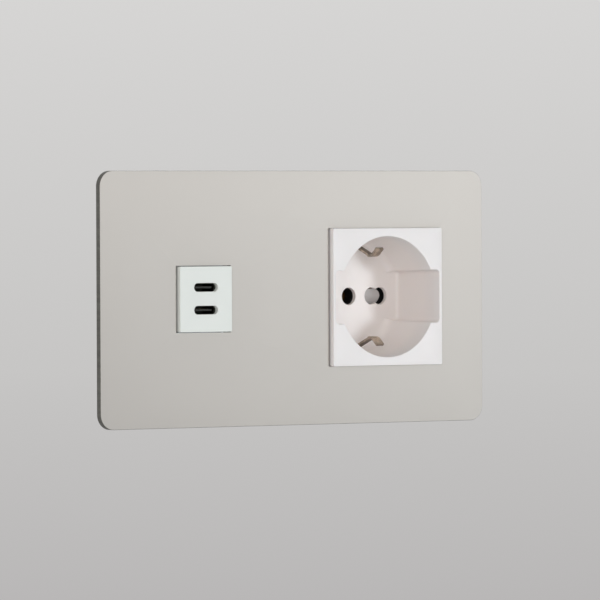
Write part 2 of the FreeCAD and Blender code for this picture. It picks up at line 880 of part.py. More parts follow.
def make_power_board():
    """Board that carries the supply, notched at one lower corner for the inlet wires."""
    board = make_board(power_board_width, power_board_height, power_board_front)
    notch = block(2 * board_notch, 2 * board_notch, power_board_front - 1, power_board_back + 1,
                  port_x - power_board_width / 2, -power_board_height / 2)
    return board.cut(notch)


def make_board_pins():
    """Row of square pins that join the two boards."""
    return Part.makeCompound([
        block(pin_size, pin_size, port_board_back, power_board_front, port_x + i * pin_pitch,
              pin_rise)
        for i in range(-3, 4)
    ])


def core_place():
    """Centre of the transformer: beside the board's left edge and below the row of pins."""
    x = port_x - power_board_width / 2 + core_side_gap + core_width / 2
    z = pin_rise - pin_size / 2 - core_pin_gap - (core_height + coil_overhang) / 2
    return x, z


def make_transformer_core():
    """Ferrite core: a square ring with a leg through its middle."""
    x, z = core_place()
    y0 = power_board_front - core_length
    body = block(core_width, core_height, y0, power_board_front, x, z)
    room = block(core_width - 2 * core_leg, through, y0 + core_leg,
                 power_board_front - core_leg / 2, x, z)
    leg = block(core_leg, core_height, y0 + core_leg - 1, power_board_front, x, z)
    return body.cut(room.cut(leg))


def make_transformer_coil():
    """Winding round the core's middle leg."""
    x, z = core_place()
    y0 = power_board_front - core_length + core_leg + coil_gap / 2
    y1 = power_board_front - core_leg / 2 - coil_gap / 2
    width = core_width - 2 * core_leg - 2 * coil_gap
    coil = slab(width, core_height + coil_overhang, coil_corner, y0, y1, x, z)
    return coil.cut(block(core_leg + coil_gap, core_height + coil_gap, y0 - 1, y1 + 1, x, z))


def can_row(radius, length, x, z, step_x, step_z):
    """Two can capacitors standing side by side on the power board."""
    foot = power_board_front
    return Part.makeCompound([
        disc(radius, foot - length, foot, x, z),
        disc(radius, foot - length, foot, x + step_x, z + step_z),
    ])


def make_input_capacitors():
    """Two tall can capacitors on the mains side, one above the other."""
    inset = input_can_radius + can_gap
    return can_row(input_can_radius, input_can_length, port_x + power_board_width / 2 - inset,
                   inset - power_board_height / 2, 0, 2 * input_can_radius + can_gap)


def make_output_capacitors():
    """Two small can capacitors along the top edge, on the port side."""
    inset = output_can_radius + can_gap
    return can_row(output_can_radius, output_can_length, port_x + power_board_width / 2 - inset,
                   power_board_height / 2 - inset, -2 * output_can_radius - can_gap, 0)


def make_control_chips():
    """Flat chips: two on the back of the port board and one behind the power board."""
    chips = [block(port_chip_size, port_chip_size, port_board_back,
                   port_board_back + port_chip_height, port_x + s * port_chip_x, -port_chip_z)
             for s in (-1, 1)]
    chips.append(block(power_chip_width, port_chip_size, power_board_back,
                       power_board_back + power_chip_height, port_x, port_chip_size))
    return Part.makeCompound(chips)


def inlet_centres():
    """X of the two mains inlet clamps."""
    return [port_x + s * inlet_width / 4 for s in (-1, 1)]


def inlet_rise():
    """Z of the mains inlet block."""
    return -power_board_height / 2 + inlet_height / 2 + inlet_rim


def make_inlet_block():
    """Moulded terminal block for the mains wires of the supply."""
    body = block(inlet_width, inlet_height, power_board_back, inlet_back, port_x, inlet_rise())
    cuts = []
    for x in inlet_centres():
        cuts.append(block(inlet_bore, through, inlet_passage - inlet_bore / 2,
                          inlet_passage + inlet_bore / 2, x, inlet_rise()))
        cuts.append(disc(inlet_screw_radius + thread_fit, inlet_passage, inlet_back + 1,
                         x, inlet_rise()))
    return body.cut(cuts)


def make_inlet_screws():
    """Two clamping screws of the inlet block."""
    return Part.makeCompound([
        disc(inlet_screw_radius, inlet_back - inlet_screw_length, inlet_back + inlet_screw_head,
             x, inlet_rise())
        for x in inlet_centres()
    ])


def make_usb_housing():
    """Rear case of the port module, with posts behind the power board and mains openings."""
    outer = slab(flange_width, flange_height, case_corner, flange_thickness, case_depth, port_x)
    outer = outer.makeChamfer(case_edge_break, edges_in_plane(outer, case_depth))
    room = block(flange_width - 2 * case_wall, flange_height - 2 * case_wall,
                 flange_thickness - 1, case_depth - case_wall, port_x)
    posts = board_posts(power_board_width, power_board_height, power_board_back, case_depth)
    case = outer.cut(room.cut(posts))
    cuts = []
    window = 2 * (inlet_screw_radius + window_margin)
    for x in inlet_centres():
        cuts.append(block(window, window, case_depth - case_wall - 1, case_depth + 1, x,
                          inlet_rise()))
        cuts.append(block(inlet_bore, 3 * case_wall, inlet_passage - inlet_bore / 2,
                          inlet_passage + inlet_bore / 2, x, -flange_height / 2))
    return case.cut(cuts)


def make_fixing_screws():
    """Two countersunk screws, flush in the frame, that carry the port module."""
    tip = fixing_boss_length - fixing_floor - fixing_tip_gap
    profile = [
        (0, frame_front),
        (fixing_head_radius, frame_front),
        (fixing_screw_radius, 0),
        (fixing_screw_radius, tip),
        (0, tip),
    ]
    return Part.makeCompound([spun(profile, x, z) for x, z in fixing_places()])


def all_nodes():
    """Every node of the part by name."""
    upper, lower = slot_rises()
    return {
        "face_plate": make_face_plate(),
        "plate_studs": make_plate_studs(),
        "stud_clips": make_stud_clips(),
        "mounting_frame": make_mounting_frame(),
        "socket_front": make_socket_front(),
        "shutter_carrier": make_shutter_carrier(),
        "shutter": make_shutter(),
        "shutter_spring": make_shutter_spring(),
        "earth_finger_top": make_earth_finger(1),
        "earth_finger_bottom": make_earth_finger(-1),
        "earth_bridge": make_earth_bridge(),
        "earth_pin_contact": make_earth_pin_contact(),
        "live_contact": make_pin_contact(-1),
        "neutral_contact": make_pin_contact(1),
        "terminal_blocks": make_terminal_blocks(),
        "terminal_screws": make_terminal_screws(),
        "socket_base": make_socket_base(),
        "case_screws": make_case_screws(),
        "usb_front": make_usb_front(),
        "usb_housing": make_usb_housing(),
        "upper_port_shell": make_port_shell(upper),
        "lower_port_shell": make_port_shell(lower),
        "upper_port_tongue": make_port_tongue(upper),
        "lower_port_tongue": make_port_tongue(lower),
        "port_board": make_board(port_board_width, port_board_height, port_board_front),
        "power_board": make_power_board(),
        "board_pins": make_board_pins(),
        "transformer_core": make_transformer_core(),
        "transformer_coil": make_transformer_coil(),
        "input_capacitors": make_input_capacitors(),
        "output_capacitors": make_output_capacitors(),
        "control_chips": make_control_chips(),
        "inlet_block": make_inlet_block(),
        "inlet_screws": make_inlet_screws(),
        "fixing_screws": make_fixing_screws(),
    }


os.makedirs("parts", exist_ok=True)
for name, shape in all_nodes().items():
    shape.exportStep(f"parts/{name}.step")
    print(name, len(shape.Solids), round(shape.Volume, 2), shape.isValid())
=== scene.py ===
import math

import bmesh
import bpy
import numpy as np
from mathutils import Matrix, Vector


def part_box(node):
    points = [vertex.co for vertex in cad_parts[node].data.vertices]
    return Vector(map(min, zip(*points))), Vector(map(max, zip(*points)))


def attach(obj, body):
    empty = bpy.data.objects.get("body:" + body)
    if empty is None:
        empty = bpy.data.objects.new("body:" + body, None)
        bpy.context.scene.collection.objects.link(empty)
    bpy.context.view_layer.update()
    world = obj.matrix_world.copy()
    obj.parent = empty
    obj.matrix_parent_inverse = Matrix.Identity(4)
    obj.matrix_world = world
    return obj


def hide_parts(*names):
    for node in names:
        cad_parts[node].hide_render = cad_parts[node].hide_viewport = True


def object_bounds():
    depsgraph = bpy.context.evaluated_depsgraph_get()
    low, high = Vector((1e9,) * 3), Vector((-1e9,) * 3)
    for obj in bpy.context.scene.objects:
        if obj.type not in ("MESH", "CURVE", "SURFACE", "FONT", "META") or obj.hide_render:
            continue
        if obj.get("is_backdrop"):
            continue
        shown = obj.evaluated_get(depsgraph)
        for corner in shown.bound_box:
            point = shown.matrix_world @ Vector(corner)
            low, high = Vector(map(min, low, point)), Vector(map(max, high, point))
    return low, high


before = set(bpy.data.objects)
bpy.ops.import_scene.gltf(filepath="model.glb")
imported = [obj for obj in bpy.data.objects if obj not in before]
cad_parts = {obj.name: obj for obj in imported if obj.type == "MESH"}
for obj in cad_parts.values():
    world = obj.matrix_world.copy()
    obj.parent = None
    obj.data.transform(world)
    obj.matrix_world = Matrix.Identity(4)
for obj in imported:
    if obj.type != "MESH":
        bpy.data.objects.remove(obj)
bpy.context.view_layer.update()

bl_info = {
    "name": "USB wall socket",
    "version": (1, 0, 0),
    "blender": (4, 5, 0),
    "location": "View3D > Sidebar > Wall socket",
    "description": "Dresses a two-gang wall plate with a double charging port and a mains outlet",
    "category": "Object",
}

MM = 0.001
WALL_UNIT = "wall_unit"

# How far a cutter stands out of what it cuts.
CLEAR = 1.0 * MM

# The camera of the photograph, whose picture is 600 by 600 pixels. The target is the pixel
# on which the middle of the plate's front lies.
PHOTO_SIDE = 600
PHOTO_AZIMUTH = math.radians(-37.06)
PHOTO_ELEVATION = math.radians(0.75)
PHOTO_ROLL = math.radians(0.24)
PHOTO_DISTANCE = 2.230
PHOTO_FOCAL = 6834.0
PHOTO_TARGET = (295.1, 297.9)
SENSOR = 36.0


def length(name, description, millimetres):
    """A size in metres, with its default given in millimetres."""
    return bpy.props.FloatProperty(name=name, description=description, default=millimetres * MM,
                                   subtype="DISTANCE", unit="LENGTH", precision=5)


def paint(name, description, red, green, blue):
    """A colour as it shows on a screen, each part from 0 to 255."""
    return bpy.props.FloatVectorProperty(name=name, description=description, size=3, min=0, max=1,
                                         default=(red / 255, green / 255, blue / 255),
                                         subtype="COLOR_GAMMA")


class SocketSizes(bpy.types.PropertyGroup):
    """Sizes of what is modelled here, beside those that come from the frame."""

    plate_corner: length("Plate corner", "Radius of the plate's four corners", 5.0)
    plate_edge: length("Plate edge", "Rounding of the plate's front edge", 0.2)
    paint_depth: length("Paint depth", "How far the paint wraps over the plate's edge", 0.03)
    window_edge: length("Window edge", "Rounding of the plate's windows at the face", 0.04)
    side_gap: length("Side gap", "Gap beside each module in its window", 0.6)
    outlet_end_gap: length("Outlet end gap", "Gap above and below the outlet", 0.05)
    port_end_gap: length("Port end gap", "Gap above and below the charging module", 0.24)
    relief_length: length("Relief length", "Length of the reliefs milled in the plate's back", 13.8)
    relief_height: length("Relief height", "Height of the reliefs milled in the plate's back", 8.0)
    relief_depth: length("Relief depth", "Depth of the reliefs milled in the plate's back", 1.3)
    screw_rise: length("Screw rise", "Height of the wall box's screws over the middle", 30.0)
    module_corner: length("Module corner", "Corner radius of both module fronts", 0.5)
    module_edge: length("Module edge", "Rounding of the edges of the outlet's front", 0.15)
    well_radius: length("Well radius", "Radius of the round well at its mouth", 19.9)
    well_draft: length("Well draft", "How much narrower the well is at its floor", 0.6)
    well_depth: length("Well depth", "From the outlet's face to the floor of the well", 21.35)
    well_rim: length("Well rim", "Rounding of the well's mouth", 0.25)
    well_cove: length("Well cove", "Rounding between the round wall and the floor", 3.0)
    cup_wall: length("Cup wall", "Wall round the well", 1.2)
    face_web: length("Face web", "Thickness of the outlet's face", 2.4)
    pocket_reach: length("Pocket reach", "Half the width across the two side pockets", 21.5)
    pocket_draft: length("Pocket draft", "How much each pocket's end leans in by the floor", 1.1)
    pocket_height: length("Pocket height", "Height of the side pockets", 17.5)
    pocket_corner: length("Pocket corner", "Corner radius of the side pockets", 1.3)
    pocket_foot: length("Pocket foot", "Rounding between a pocket's end and the floor", 1.2)
    floor_thickness: length("Floor thickness", "Thickness of the well's floor", 1.5)
    body_wall: length("Body wall", "Wall of the outlet's skirt", 1.2)
    body_corner: length("Body corner", "Corner radius of the outlet's skirt", 1.0)
    body_ledge: length("Body ledge", "How far the outlet's cap stands over its skirt at the sides", 0.3)
    body_height: length("Body height", "Height of the outlet's skirt", 42.2)
    boss_size: length("Boss size", "Side of the two bosses that take the case screws", 4.6)
    lug_width: length("Lug width", "Width of the snap lugs above and below the skirt", 12.0)
    lug_length: length("Lug length", "Length of a snap lug's slope", 2.4)
    lug_rise: length("Lug rise", "How far a snap lug stands out", 0.8)
    hole_radius: length("Hole radius", "Radius of each round of the pin holes", 2.85)
    hole_edge: length("Hole edge", "Rounding of the pin holes at the floor", 0.12)
    inner_pin: length("Inner pin", "Distance of the inner pin round from the middle", 9.5)
    outer_pin: length("Outer pin", "Distance of the outer pin round from the middle", 13.0)
    port_width: length("Port width", "Width of the charging module's front", 20.7)
    port_height: length("Port height", "Height of the charging module's front", 21.2)
    port_wall: length("Port wall", "Thickness of the charging module's front", 1.4)
    port_edge: length("Port edge", "Rounding of the edges of the charging module's front", 0.08)
    port_pitch: length("Port pitch", "Distance between the two port slots", 7.34)
    port_rise: length("Port rise", "How far the two ports stand over the module's middle", 0.14)
    slot_width: length("Slot width", "Width of a port slot", 9.43)
    slot_height: length("Slot height", "Height of a port slot", 2.74)
    slot_edge: length("Slot edge", "Rounding of a port slot's mouth", 0.15)
    finger_width: length("Finger width", "Width of an earth finger's head", 3.0)
    leg_width: length("Leg width", "Width of an earth finger's leg", 2.0)
    finger_thickness: length("Finger thickness", "Thickness of an earth finger", 0.9)


class SocketColours(bpy.types.PropertyGroup):
    """Colours of the finishes, as they show on a screen."""

    plate: paint("Plate paint", "Stone-grey paint of the plate", 200, 196, 190)
    plate_edge: paint("Plate edge", "Dark bare metal at the plate's edge", 96, 96, 91)
    outlet: paint("Outlet moulding", "White moulding of the mains outlet", 232, 229, 228)
    # Painted light: lighter and warmer than the face, standing in for warm light bounced round the well.
    outlet_well_painted_light: paint("Outlet well", "Warmer white that the moulding has deep in its well", 241, 235, 232)
    outlet_cloud: paint("Outlet clouding", "Faint warm clouding of the outlet's white", 204, 196, 191)
    port: paint("Port moulding", "White moulding of the charging module", 223, 227, 222)
    shutter: paint("Shutter moulding", "Light grey moulding of the shutter", 190, 187, 186)
    grey: paint("Grey moulding", "Grey moulding of the rear housings", 150, 152, 154)
    # Painted shade: the carrier is made near-black so that the pin holes read as dark inside.
    carrier: paint("Carrier moulding", "Near-black moulding behind the shutter", 30, 30, 31)
    # Also painted as shade on the charging front's foot and flange.
    dark: paint("Dark moulding", "Near-black moulding of the port module's case", 46, 47, 49)
    terminal: paint("Terminal moulding", "Pale green moulding of the inlet clamps", 96, 128, 104)
    steel: paint("Zinc steel", "Zinc-plated pressed steel", 176, 179, 182)
    spring: paint("Spring steel", "Blued spring steel", 128, 126, 122)
    finger: paint("Earth finger", "Tinned bronze of the earth fingers", 194, 180, 164)
    brass: paint("Brass", "Brass of the contacts and clamps", 196, 160, 96)
    # Partly painted shade: a real bronze, kept dark so that the earth hole reads black inside.
    bronze: paint("Bronze", "Dull bronze of the earth bridge and its centre contact", 120, 98, 70)
    # Painted shade: the shell's metal is made dark so that the slots read black deep inside.
    shell: paint("Port shell", "Dark metal shell inside a port", 62, 63, 57)
    tongue: paint("Tongue", "Dark moulding of a port's tongue", 45, 46, 41)
    board: paint("Board", "Green lacquer of the circuit boards", 34, 84, 56)
    ferrite: paint("Ferrite", "Dark grey ferrite of the core", 58, 57, 60)
    tape: paint("Winding tape", "Amber tape round the winding", 204, 160, 70)
    sleeve: paint("Capacitor sleeve", "Dark blue sleeve of the capacitors", 34, 42, 70)
    resin: paint("Chip resin", "Black resin of the chips", 30, 30, 32)
    floor: paint("Floor", "Plain pale floor", 222, 223, 224)
    # Painted shade: the floor is darker near the object and lightens away to the horizon, as light from
    # above leaves a backdrop darker lower down.
    floor_painted_shade: paint("Near floor", "Floor's own shade near the object", 181, 179, 179)
    # Painted shade: the backdrop darkens down to this colour at the horizon, as light from above leaves
    # it.
    horizon: paint("Horizon", "Backdrop where it meets the floor", 199, 198, 197)
    backdrop: paint("Backdrop", "Plain pale backdrop", 215, 214, 213)


# Surfaces worked out with numpy

def in_scene(name, data):
    """An object with this mesh, lamp or camera, in the scene."""
    made = bpy.data.objects.new(name, data)
    bpy.context.scene.collection.objects.link(made)
    return made


def add_mesh(name, points, faces):
    """An object whose place is in its mesh: points in metres, faces as rows of point numbers."""
    mesh = bpy.data.meshes.new(name)
    mesh.from_pydata(points.tolist(), [], faces)
    mesh.validate()
    return in_scene(name, mesh)


def merged(mesh, nearest=0.0001 * MM):
    """A mesh opened for work, with the points that are nearer than this made one."""
    grown = bmesh.new()
    grown.from_mesh(mesh)
    bmesh.ops.remove_doubles(grown, verts=grown.verts, dist=nearest)
    return grown


def point_outwards(piece, sharp_angle=32):
    """Merges doubles, turns the faces outwards and keeps edges crisp above sharp_angle degrees."""
    grown = merged(piece.data)
    bmesh.ops.recalc_face_normals(grown, faces=grown.faces)
    grown.to_mesh(piece.data)
    grown.free()
    piece.data.shade_smooth()
    piece.data.set_sharp_from_angle(angle=math.radians(sharp_angle))
    return piece


def ring_faces(rows, columns, closed):
    """Four-cornered faces between rows of points that each close on themselves.

    Face (i, j) joins points j and j + 1 of ring i to those of ring i + 1, and the last ring
    joins the first when closed.
    """
    i = np.arange(rows if closed else rows - 1)[:, None]
    j = np.arange(columns)[None, :]
    here = i * columns
    there = (i + 1) % rows * columns
    beside = (j + 1) % columns
    faces = np.stack([here + j, here + beside, there + beside, there + j], axis=-1)
    return faces.reshape(-1, 4).tolist()


def add_rings(name, rings, closed=False):
    """A surface through rings of points; an open stack gets a flat face at each end."""
    rings = np.asarray(rings)
    rows, columns = rings.shape[:2]
    faces = ring_faces(rows, columns, closed)
    if not closed:
        faces.append(list(range(columns)))
        faces.append(list(range((rows - 1) * columns, rows * columns)))
    return add_mesh(name, rings.reshape(-1, 3), faces)


def standing(outline, y, x=0.0, z=0.0):
    """Puts an outline of (x, z) points in the plane at y, which may differ from point to point."""
    depth = np.broadcast_to(np.asarray(y, float), (len(outline),))
    return np.column_stack([outline[:, 0] + x, depth, outline[:, 1] + z])


def rectangle(half_x, half_z, corner, steps=10):
    """A rectangle with round corners: four quarter circles joined by straight sides."""
    turn = np.linspace(0, math.pi / 2, steps)
    quarter = np.column_stack([np.cos(turn), np.sin(turn)]) * corner
    turns = [np.array([[cos, sin], [-sin, cos]]) for cos, sin in ((1, 0), (0, 1), (-1, 0), (0, -1))]
    centres = [(half_x - corner, half_z - corner), (corner - half_x, half_z - corner),
               (corner - half_x, corner - half_z), (half_x - corner, corner - half_z)]
    return np.concatenate([quarter @ turned_by + centre for turned_by, centre in zip(turns, centres)])


def stacked(name, outlines, depths, x=0.0, z=0.0):
    """Outlines standing one behind the other, skinned and closed at both ends."""
    return add_rings(name, [standing(outline, y, x, z) for outline, y in zip(outlines, depths)])


# Samples along one quarter of the keyed round: end wall, corner, upper wall, round.
END_STEPS = 5
CORNER_STEPS = 6
WALL_STEPS = 7
ROUND_LOW = 9
ROUND_HIGH = 18

# Degrees of the close samples, where rays from the round meet the corners of a square, and
# the degrees at which the samples below and above them end.
DIAGONAL = (44.2, 44.6, 45.0, 45.4, 45.8)
DIAGONAL_ENDS = (43.6, 46.4)

# Where the rings between two outlines stand on a flat face, as shares of the way out.
FLAT_SHARES = (0.3, 0.6, 0.85)

# The share of its half height that an oval's corner radius takes, so that its ends keep a
# short straight side.
OVAL = 0.999


def four_quarters(quarter):
    """One quarter from the X axis to the Z axis, mirrored into a whole ring without doubles."""
    back = quarter[::-1][1:]
    half = np.concatenate([quarter, back * (-1, 1)])
    return np.concatenate([half, half[::-1][1:-1] * (1, -1)])


def keyed_round(radius, reach, half_height, corner):
    """A round with a key pocket on each side.

    The quarter runs up the pocket's end wall at x = reach, round its corner, back along its
    upper wall at z = half_height to where that meets the circle x squared + z squared =
    radius squared, and on round the circle to the Z axis, closely stepped about 45 degrees.
    """
    meeting = math.asin(half_height / radius)
    end = np.column_stack([np.full(END_STEPS, reach),
                           np.linspace(0, half_height - corner, END_STEPS)])
    turn = np.linspace(0, math.pi / 2, CORNER_STEPS + 1)[1:]
    bend = np.column_stack([reach - corner + corner * np.cos(turn),
                            half_height - corner + corner * np.sin(turn)])
    wall_x = np.linspace(reach - corner, radius * math.cos(meeting), WALL_STEPS + 1)[1:]
    wall = np.column_stack([wall_x, np.full(WALL_STEPS, half_height)])
    before, after = np.radians(DIAGONAL_ENDS)
    angles = np.concatenate([np.linspace(meeting, before, ROUND_LOW + 1)[1:], np.radians(DIAGONAL),
                             np.linspace(after, math.pi / 2, ROUND_HIGH)])
    arc = radius * np.column_stack([np.cos(angles), np.sin(angles)])
    return four_quarters(np.concatenate([end, bend, wall, arc]))


def round_share():
    """For each point of a keyed round, 0 in the pocket, rising to 1 along its wall to the round."""
    quarter = np.concatenate([
        np.zeros(END_STEPS + CORNER_STEPS),
        np.linspace(0, 1, WALL_STEPS + 1)[1:],
        np.ones(ROUND_LOW + len(DIAGONAL) + ROUND_HIGH),
    ])
    return np.abs(four_quarters(np.column_stack([quarter, quarter]))[:, 0])


def rays_to_circle(outline, radius):
    """Points on a circle in the same directions as the outline's points."""
    return outline * (radius / np.linalg.norm(outline, axis=1))[:, None]


def rays_to_rectangle(outline, half_x, half_z, corner):
    """Points on a rounded rectangle in the same directions as the outline's points.

    A ray that meets the straight bit of a side stops there. Any other stops on the quarter
    circle: t = d . c + sqrt(r squared - (d x c) squared), where d is the ray, c the circle's
    centre and r its radius.
    """
    least = 1e-9
    ray = np.abs(outline) / np.linalg.norm(outline, axis=1)[:, None]
    centre_x, centre_z = half_x - corner, half_z - corner
    side = half_x / np.maximum(ray[:, 0], least)
    crown = half_z / np.maximum(ray[:, 1], least)
    along = ray[:, 0] * centre_x + ray[:, 1] * centre_z
    across = ray[:, 0] * centre_z - ray[:, 1] * centre_x
    bend = along + np.sqrt(np.maximum(corner ** 2 - across ** 2, 0))
    distance = np.where(crown * ray[:, 0] <= centre_x, crown, bend)
    distance = np.where(side * ray[:, 1] <= centre_z, side, distance)
    return np.sign(outline) * ray * distance[:, None]


def on_the_way(inner, outer):
    """Outlines between an inner and an outer one: inner + (outer - inner) times each share."""
    return [inner + (outer - inner) * share for share in FLAT_SHARES]


def rounding(radius, steps, end=math.pi / 2):
    """(inset, sink) pairs of a quarter circle, from a side wall to the flat it runs into.

    inset = radius (1 - cos t) and sink = radius (1 - sin t); with end at pi the pairs run on
    over a lip to the wall on its other side.
    """
    turn = np.linspace(0, end, steps)
    return [(radius * (1 - math.cos(t)), radius * (1 - math.sin(t))) for t in turn]


def eased(outline, edge, face, steps):
    """The outlines and depths of a rounded front edge, from the face backwards.

    outline gives the shape at each inset of the quarter circle.
    """
    bend = rounding(edge, steps)[::-1]
    return [outline(inset) for inset, _ in bend], [face + sink for _, sink in bend]


def carve(piece, tools, operation="DIFFERENCE"):
    """Takes each tool's space out of the piece for good, or adds it, and removes the tools."""
    for tool in tools:
        step = piece.modifiers.new(tool.name, "BOOLEAN")
        step.operation = operation
        step.solver = "EXACT"
        step.object = tool
    graph = bpy.context.evaluated_depsgraph_get()
    carved = bpy.data.meshes.new_from_object(piece.evaluated_get(graph))
    piece.modifiers.clear()
    piece.data = carved
    for tool in tools:
        bpy.data.objects.remove(tool)
    return piece


def box_tool(half_x, half_z, y0, y1, x=0.0, z=0.0, corner=0.05 * MM):
    """A cutter with almost square corners."""
    outline = rectangle(half_x, half_z, corner, steps=3)
    return point_outwards(stacked("tool", [outline, outline], [y0, y1], x, z))


def bent_path(points, bend, steps=7):
    """Straight runs joined by arcs, one arc of radius bend round each inner point."""
    points = np.asarray(points, float)
    path = [points[:1]]
    for before, corner, after in zip(points, points[1:], points[2:]):
        into = (corner - before) / np.linalg.norm(corner - before)
        out = (after - corner) / np.linalg.norm(after - corner)
        half = math.acos(float(np.clip(into @ out, -1, 1))) / 2
        inward = (out - into) / np.linalg.norm(out - into)
        centre = corner + inward * bend / math.cos(half)
        turn = np.linspace(-half, half, steps)[:, None]
        along = (into + out) / np.linalg.norm(into + out)
        path.append(centre - inward * bend * np.cos(turn) + along * bend * np.sin(turn))
    path.append(points[-1:])
    return np.concatenate(path)


def strip(name, path, widths, thickness, edge):
    """A flat strip with soft edges: a rounded section carried along a path in a plane of fixed X.

    The section's long side lies along X, as wide as widths says at each point of the path, and
    its short side along X cross the path's direction, which halves the angle of each bend.
    """
    runs = np.diff(path, axis=0)
    runs /= np.linalg.norm(runs, axis=1)[:, None]
    ahead = np.concatenate([runs[:1], runs[:-1] + runs[1:], runs[-1:]])
    ahead /= np.linalg.norm(ahead, axis=1)[:, None]
    normal = np.cross([1.0, 0.0, 0.0], ahead)
    section = rectangle(edge, thickness / 2, edge, steps=5)
    across = section[None, :, 0] + np.sign(section[None, :, 0]) * (widths[:, None] / 2 - edge)
    rings = (path[:, None, :] + across[:, :, None] * [1.0, 0.0, 0.0]
             + section[None, :, 1:] * normal[:, None, :])
    return add_rings(name, rings)


def prism(name, section, x0, x1):
    """A section of (y, z) points carried from x0 to x1."""
    return add_rings(name, [np.column_stack([np.full(len(section), x), section]) for x in (x0, x1)])


def turned(name, profile, x, z, steps=40):
    """A turned piece: (radius, y) pairs carried round an axis along Y."""
    turn = np.linspace(0, 2 * math.pi, steps, endpoint=False)
    circle = np.column_stack([np.cos(turn), np.sin(turn)])
    return stacked(name, [circle * r for r, _ in profile], [y for _, y in profile], x, z)


def joined(name, parts):
    """Several pieces made one object."""
    whole = bmesh.new()
    for part in parts:
        whole.from_mesh(part.data)
        bpy.data.objects.remove(part)
    mesh = bpy.data.meshes.new(name)
    whole.to_mesh(mesh)
    whole.free()
    return in_scene(name, mesh)


# Finishes

# The rays that see the backdrop's own colour: from the camera, off gloss and through glass.
SEEN_RAYS = ("Is Camera Ray", "Is Glossy Ray", "Is Transmission Ray")

PLASTIC_IOR = 1.48
PAINT_IOR = 1.46


def linear(colour):
    """Screen colour to the light it stands for, by the curve that all screens share."""
    shown = np.asarray(tuple(colour), float)
    light = np.where(shown <= 0.04045, shown / 12.92, ((shown + 0.055) / 1.055) ** 2.4)
    return (*light.tolist(), 1.0)


class Field:
    """A shader socket that can be calculated with."""

    def __init__(self, finish, socket):
        self.finish = finish
        self.socket = socket

    def calculate(self, operation, first, second=0.0):
        return self.finish.node("ShaderNodeMath", {"operation": operation}, {0: first, 1: second})

    def __add__(self, other):
        return self.calculate("ADD", self, other)

    def __radd__(self, other):
        return self.calculate("ADD", other, self)

    def __sub__(self, other):
        return self.calculate("SUBTRACT", self, other)

    def __rsub__(self, other):
        return self.calculate("SUBTRACT", other, self)

    def __mul__(self, other):
        return self.calculate("MULTIPLY", self, other)

    def __rmul__(self, other):
        return self.calculate("MULTIPLY", other, self)

    def __truediv__(self, other):
        return self.calculate("DIVIDE", self, other)

    def __pow__(self, other):
        return self.calculate("POWER", self, other)

    def between(self, low, high):
        """0 at low and under, 1 at high and over, straight between."""
        return self.finish.node("ShaderNodeMapRange", {"clamp": True},
                                {"Value": self, "From Min": low, "From Max": high})

    def swing(self, amount):
        """A noise's swing about its middle, times an amount."""
        return (self - 0.5) * amount


class Shading:
    """A material or world being made. Its method node adds any node and hands back one output.

    shader and end name the owner's plain shader and its output node, and coordinates are
    the ones that its patterns read.
    """

    def __init__(self, owner, shader, end, coordinates):
        owner.use_nodes = True
        self.tree = owner.node_tree
        self.shader = self.tree.nodes[shader]
        self.end = self.tree.nodes[end]
        self.place = self.node("ShaderNodeTexCoord", {}, {}, coordinates)

    def node(self, kind, settings, sockets, output=0):
        """Adds a node: its settings first, then the values or links of its sockets."""
        made = self.tree.nodes.new(kind)
        for key, value in settings.items():
            setattr(made, key, value)
        for key, value in sockets.items():
            self.feed(made.inputs[key], value)
        return Field(self, made.outputs[output])

    def feed(self, socket, value):
        """Links a field to a socket, or writes a plain value on it."""
        if isinstance(value, Field):
            self.tree.links.new(value.socket, socket)
        else:
            socket.default_value = value

    def set(self, **sockets):
        """Feeds the surface shader's sockets; an underscore stands for a space."""
        for key, value in sockets.items():
            self.feed(self.shader.inputs[key.replace("_", " ")], value)
        return self

    def axis(self, name):
        """One coordinate of the point being shaded in metres, or of the world's direction."""
        return self.node("ShaderNodeSeparateXYZ", {}, {"Vector": self.place}, name)

    def mix(self, share, first, second):
        """From the first colour to the second by a share, 0 to 1."""
        return self.node("ShaderNodeMix", {"data_type": "RGBA"}, {0: share, 6: first, 7: second}, 2)

    def seen(self):
        """1 for the rays that see the backdrop's own colour, and 0 for those that carry light."""
        return sum(self.node("ShaderNodeLightPath", {}, {}, ray) for ray in SEEN_RAYS).between(0, 1)

    def surface(self, share, over):
        """Puts another shader over the plain one by a share."""
        plain = Field(self, self.shader.outputs[0])
        both = self.node("ShaderNodeMixShader", {}, {0: share, 1: plain, 2: over})
        self.feed(self.end.inputs["Surface"], both)


class Finish(Shading):
    """A material of this name on Object coordinates."""

    def __init__(self, name):
        self.material = bpy.data.materials.new(name)
        super().__init__(self.material, "Principled BSDF", "Material Output", "Object")

    def noise(self, per_metre, detail=3.0, roughness=0.5, stretch=(1, 1, 1)):
        """Smooth noise from 0 to 1 with a given number of lumps in a metre."""
        place = self.node("ShaderNodeMapping", {}, {"Vector": self.place, "Scale": stretch})
        return self.node("ShaderNodeTexNoise", {},
                         {"Vector": place, "Scale": per_metre, "Detail": detail,
                          "Roughness": roughness})

    def shaded(self, share, colour, darker, lighter):
        """A colour that runs from a darker to a lighter form of itself."""
        return self.mix(share, linear(tinted(colour, -darker)), linear(tinted(colour, lighter)))

    def bump(self, height, strength, distance):
        """Raises the surface by a field of heights."""
        return self.node("ShaderNodeBump", {}, {"Strength": strength, "Distance": distance,
                                                "Height": height})


def tinted(colour, amount):
    """A colour made lighter or darker by a share."""
    return tuple(min(1.0, part * (1 + amount)) for part in colour)


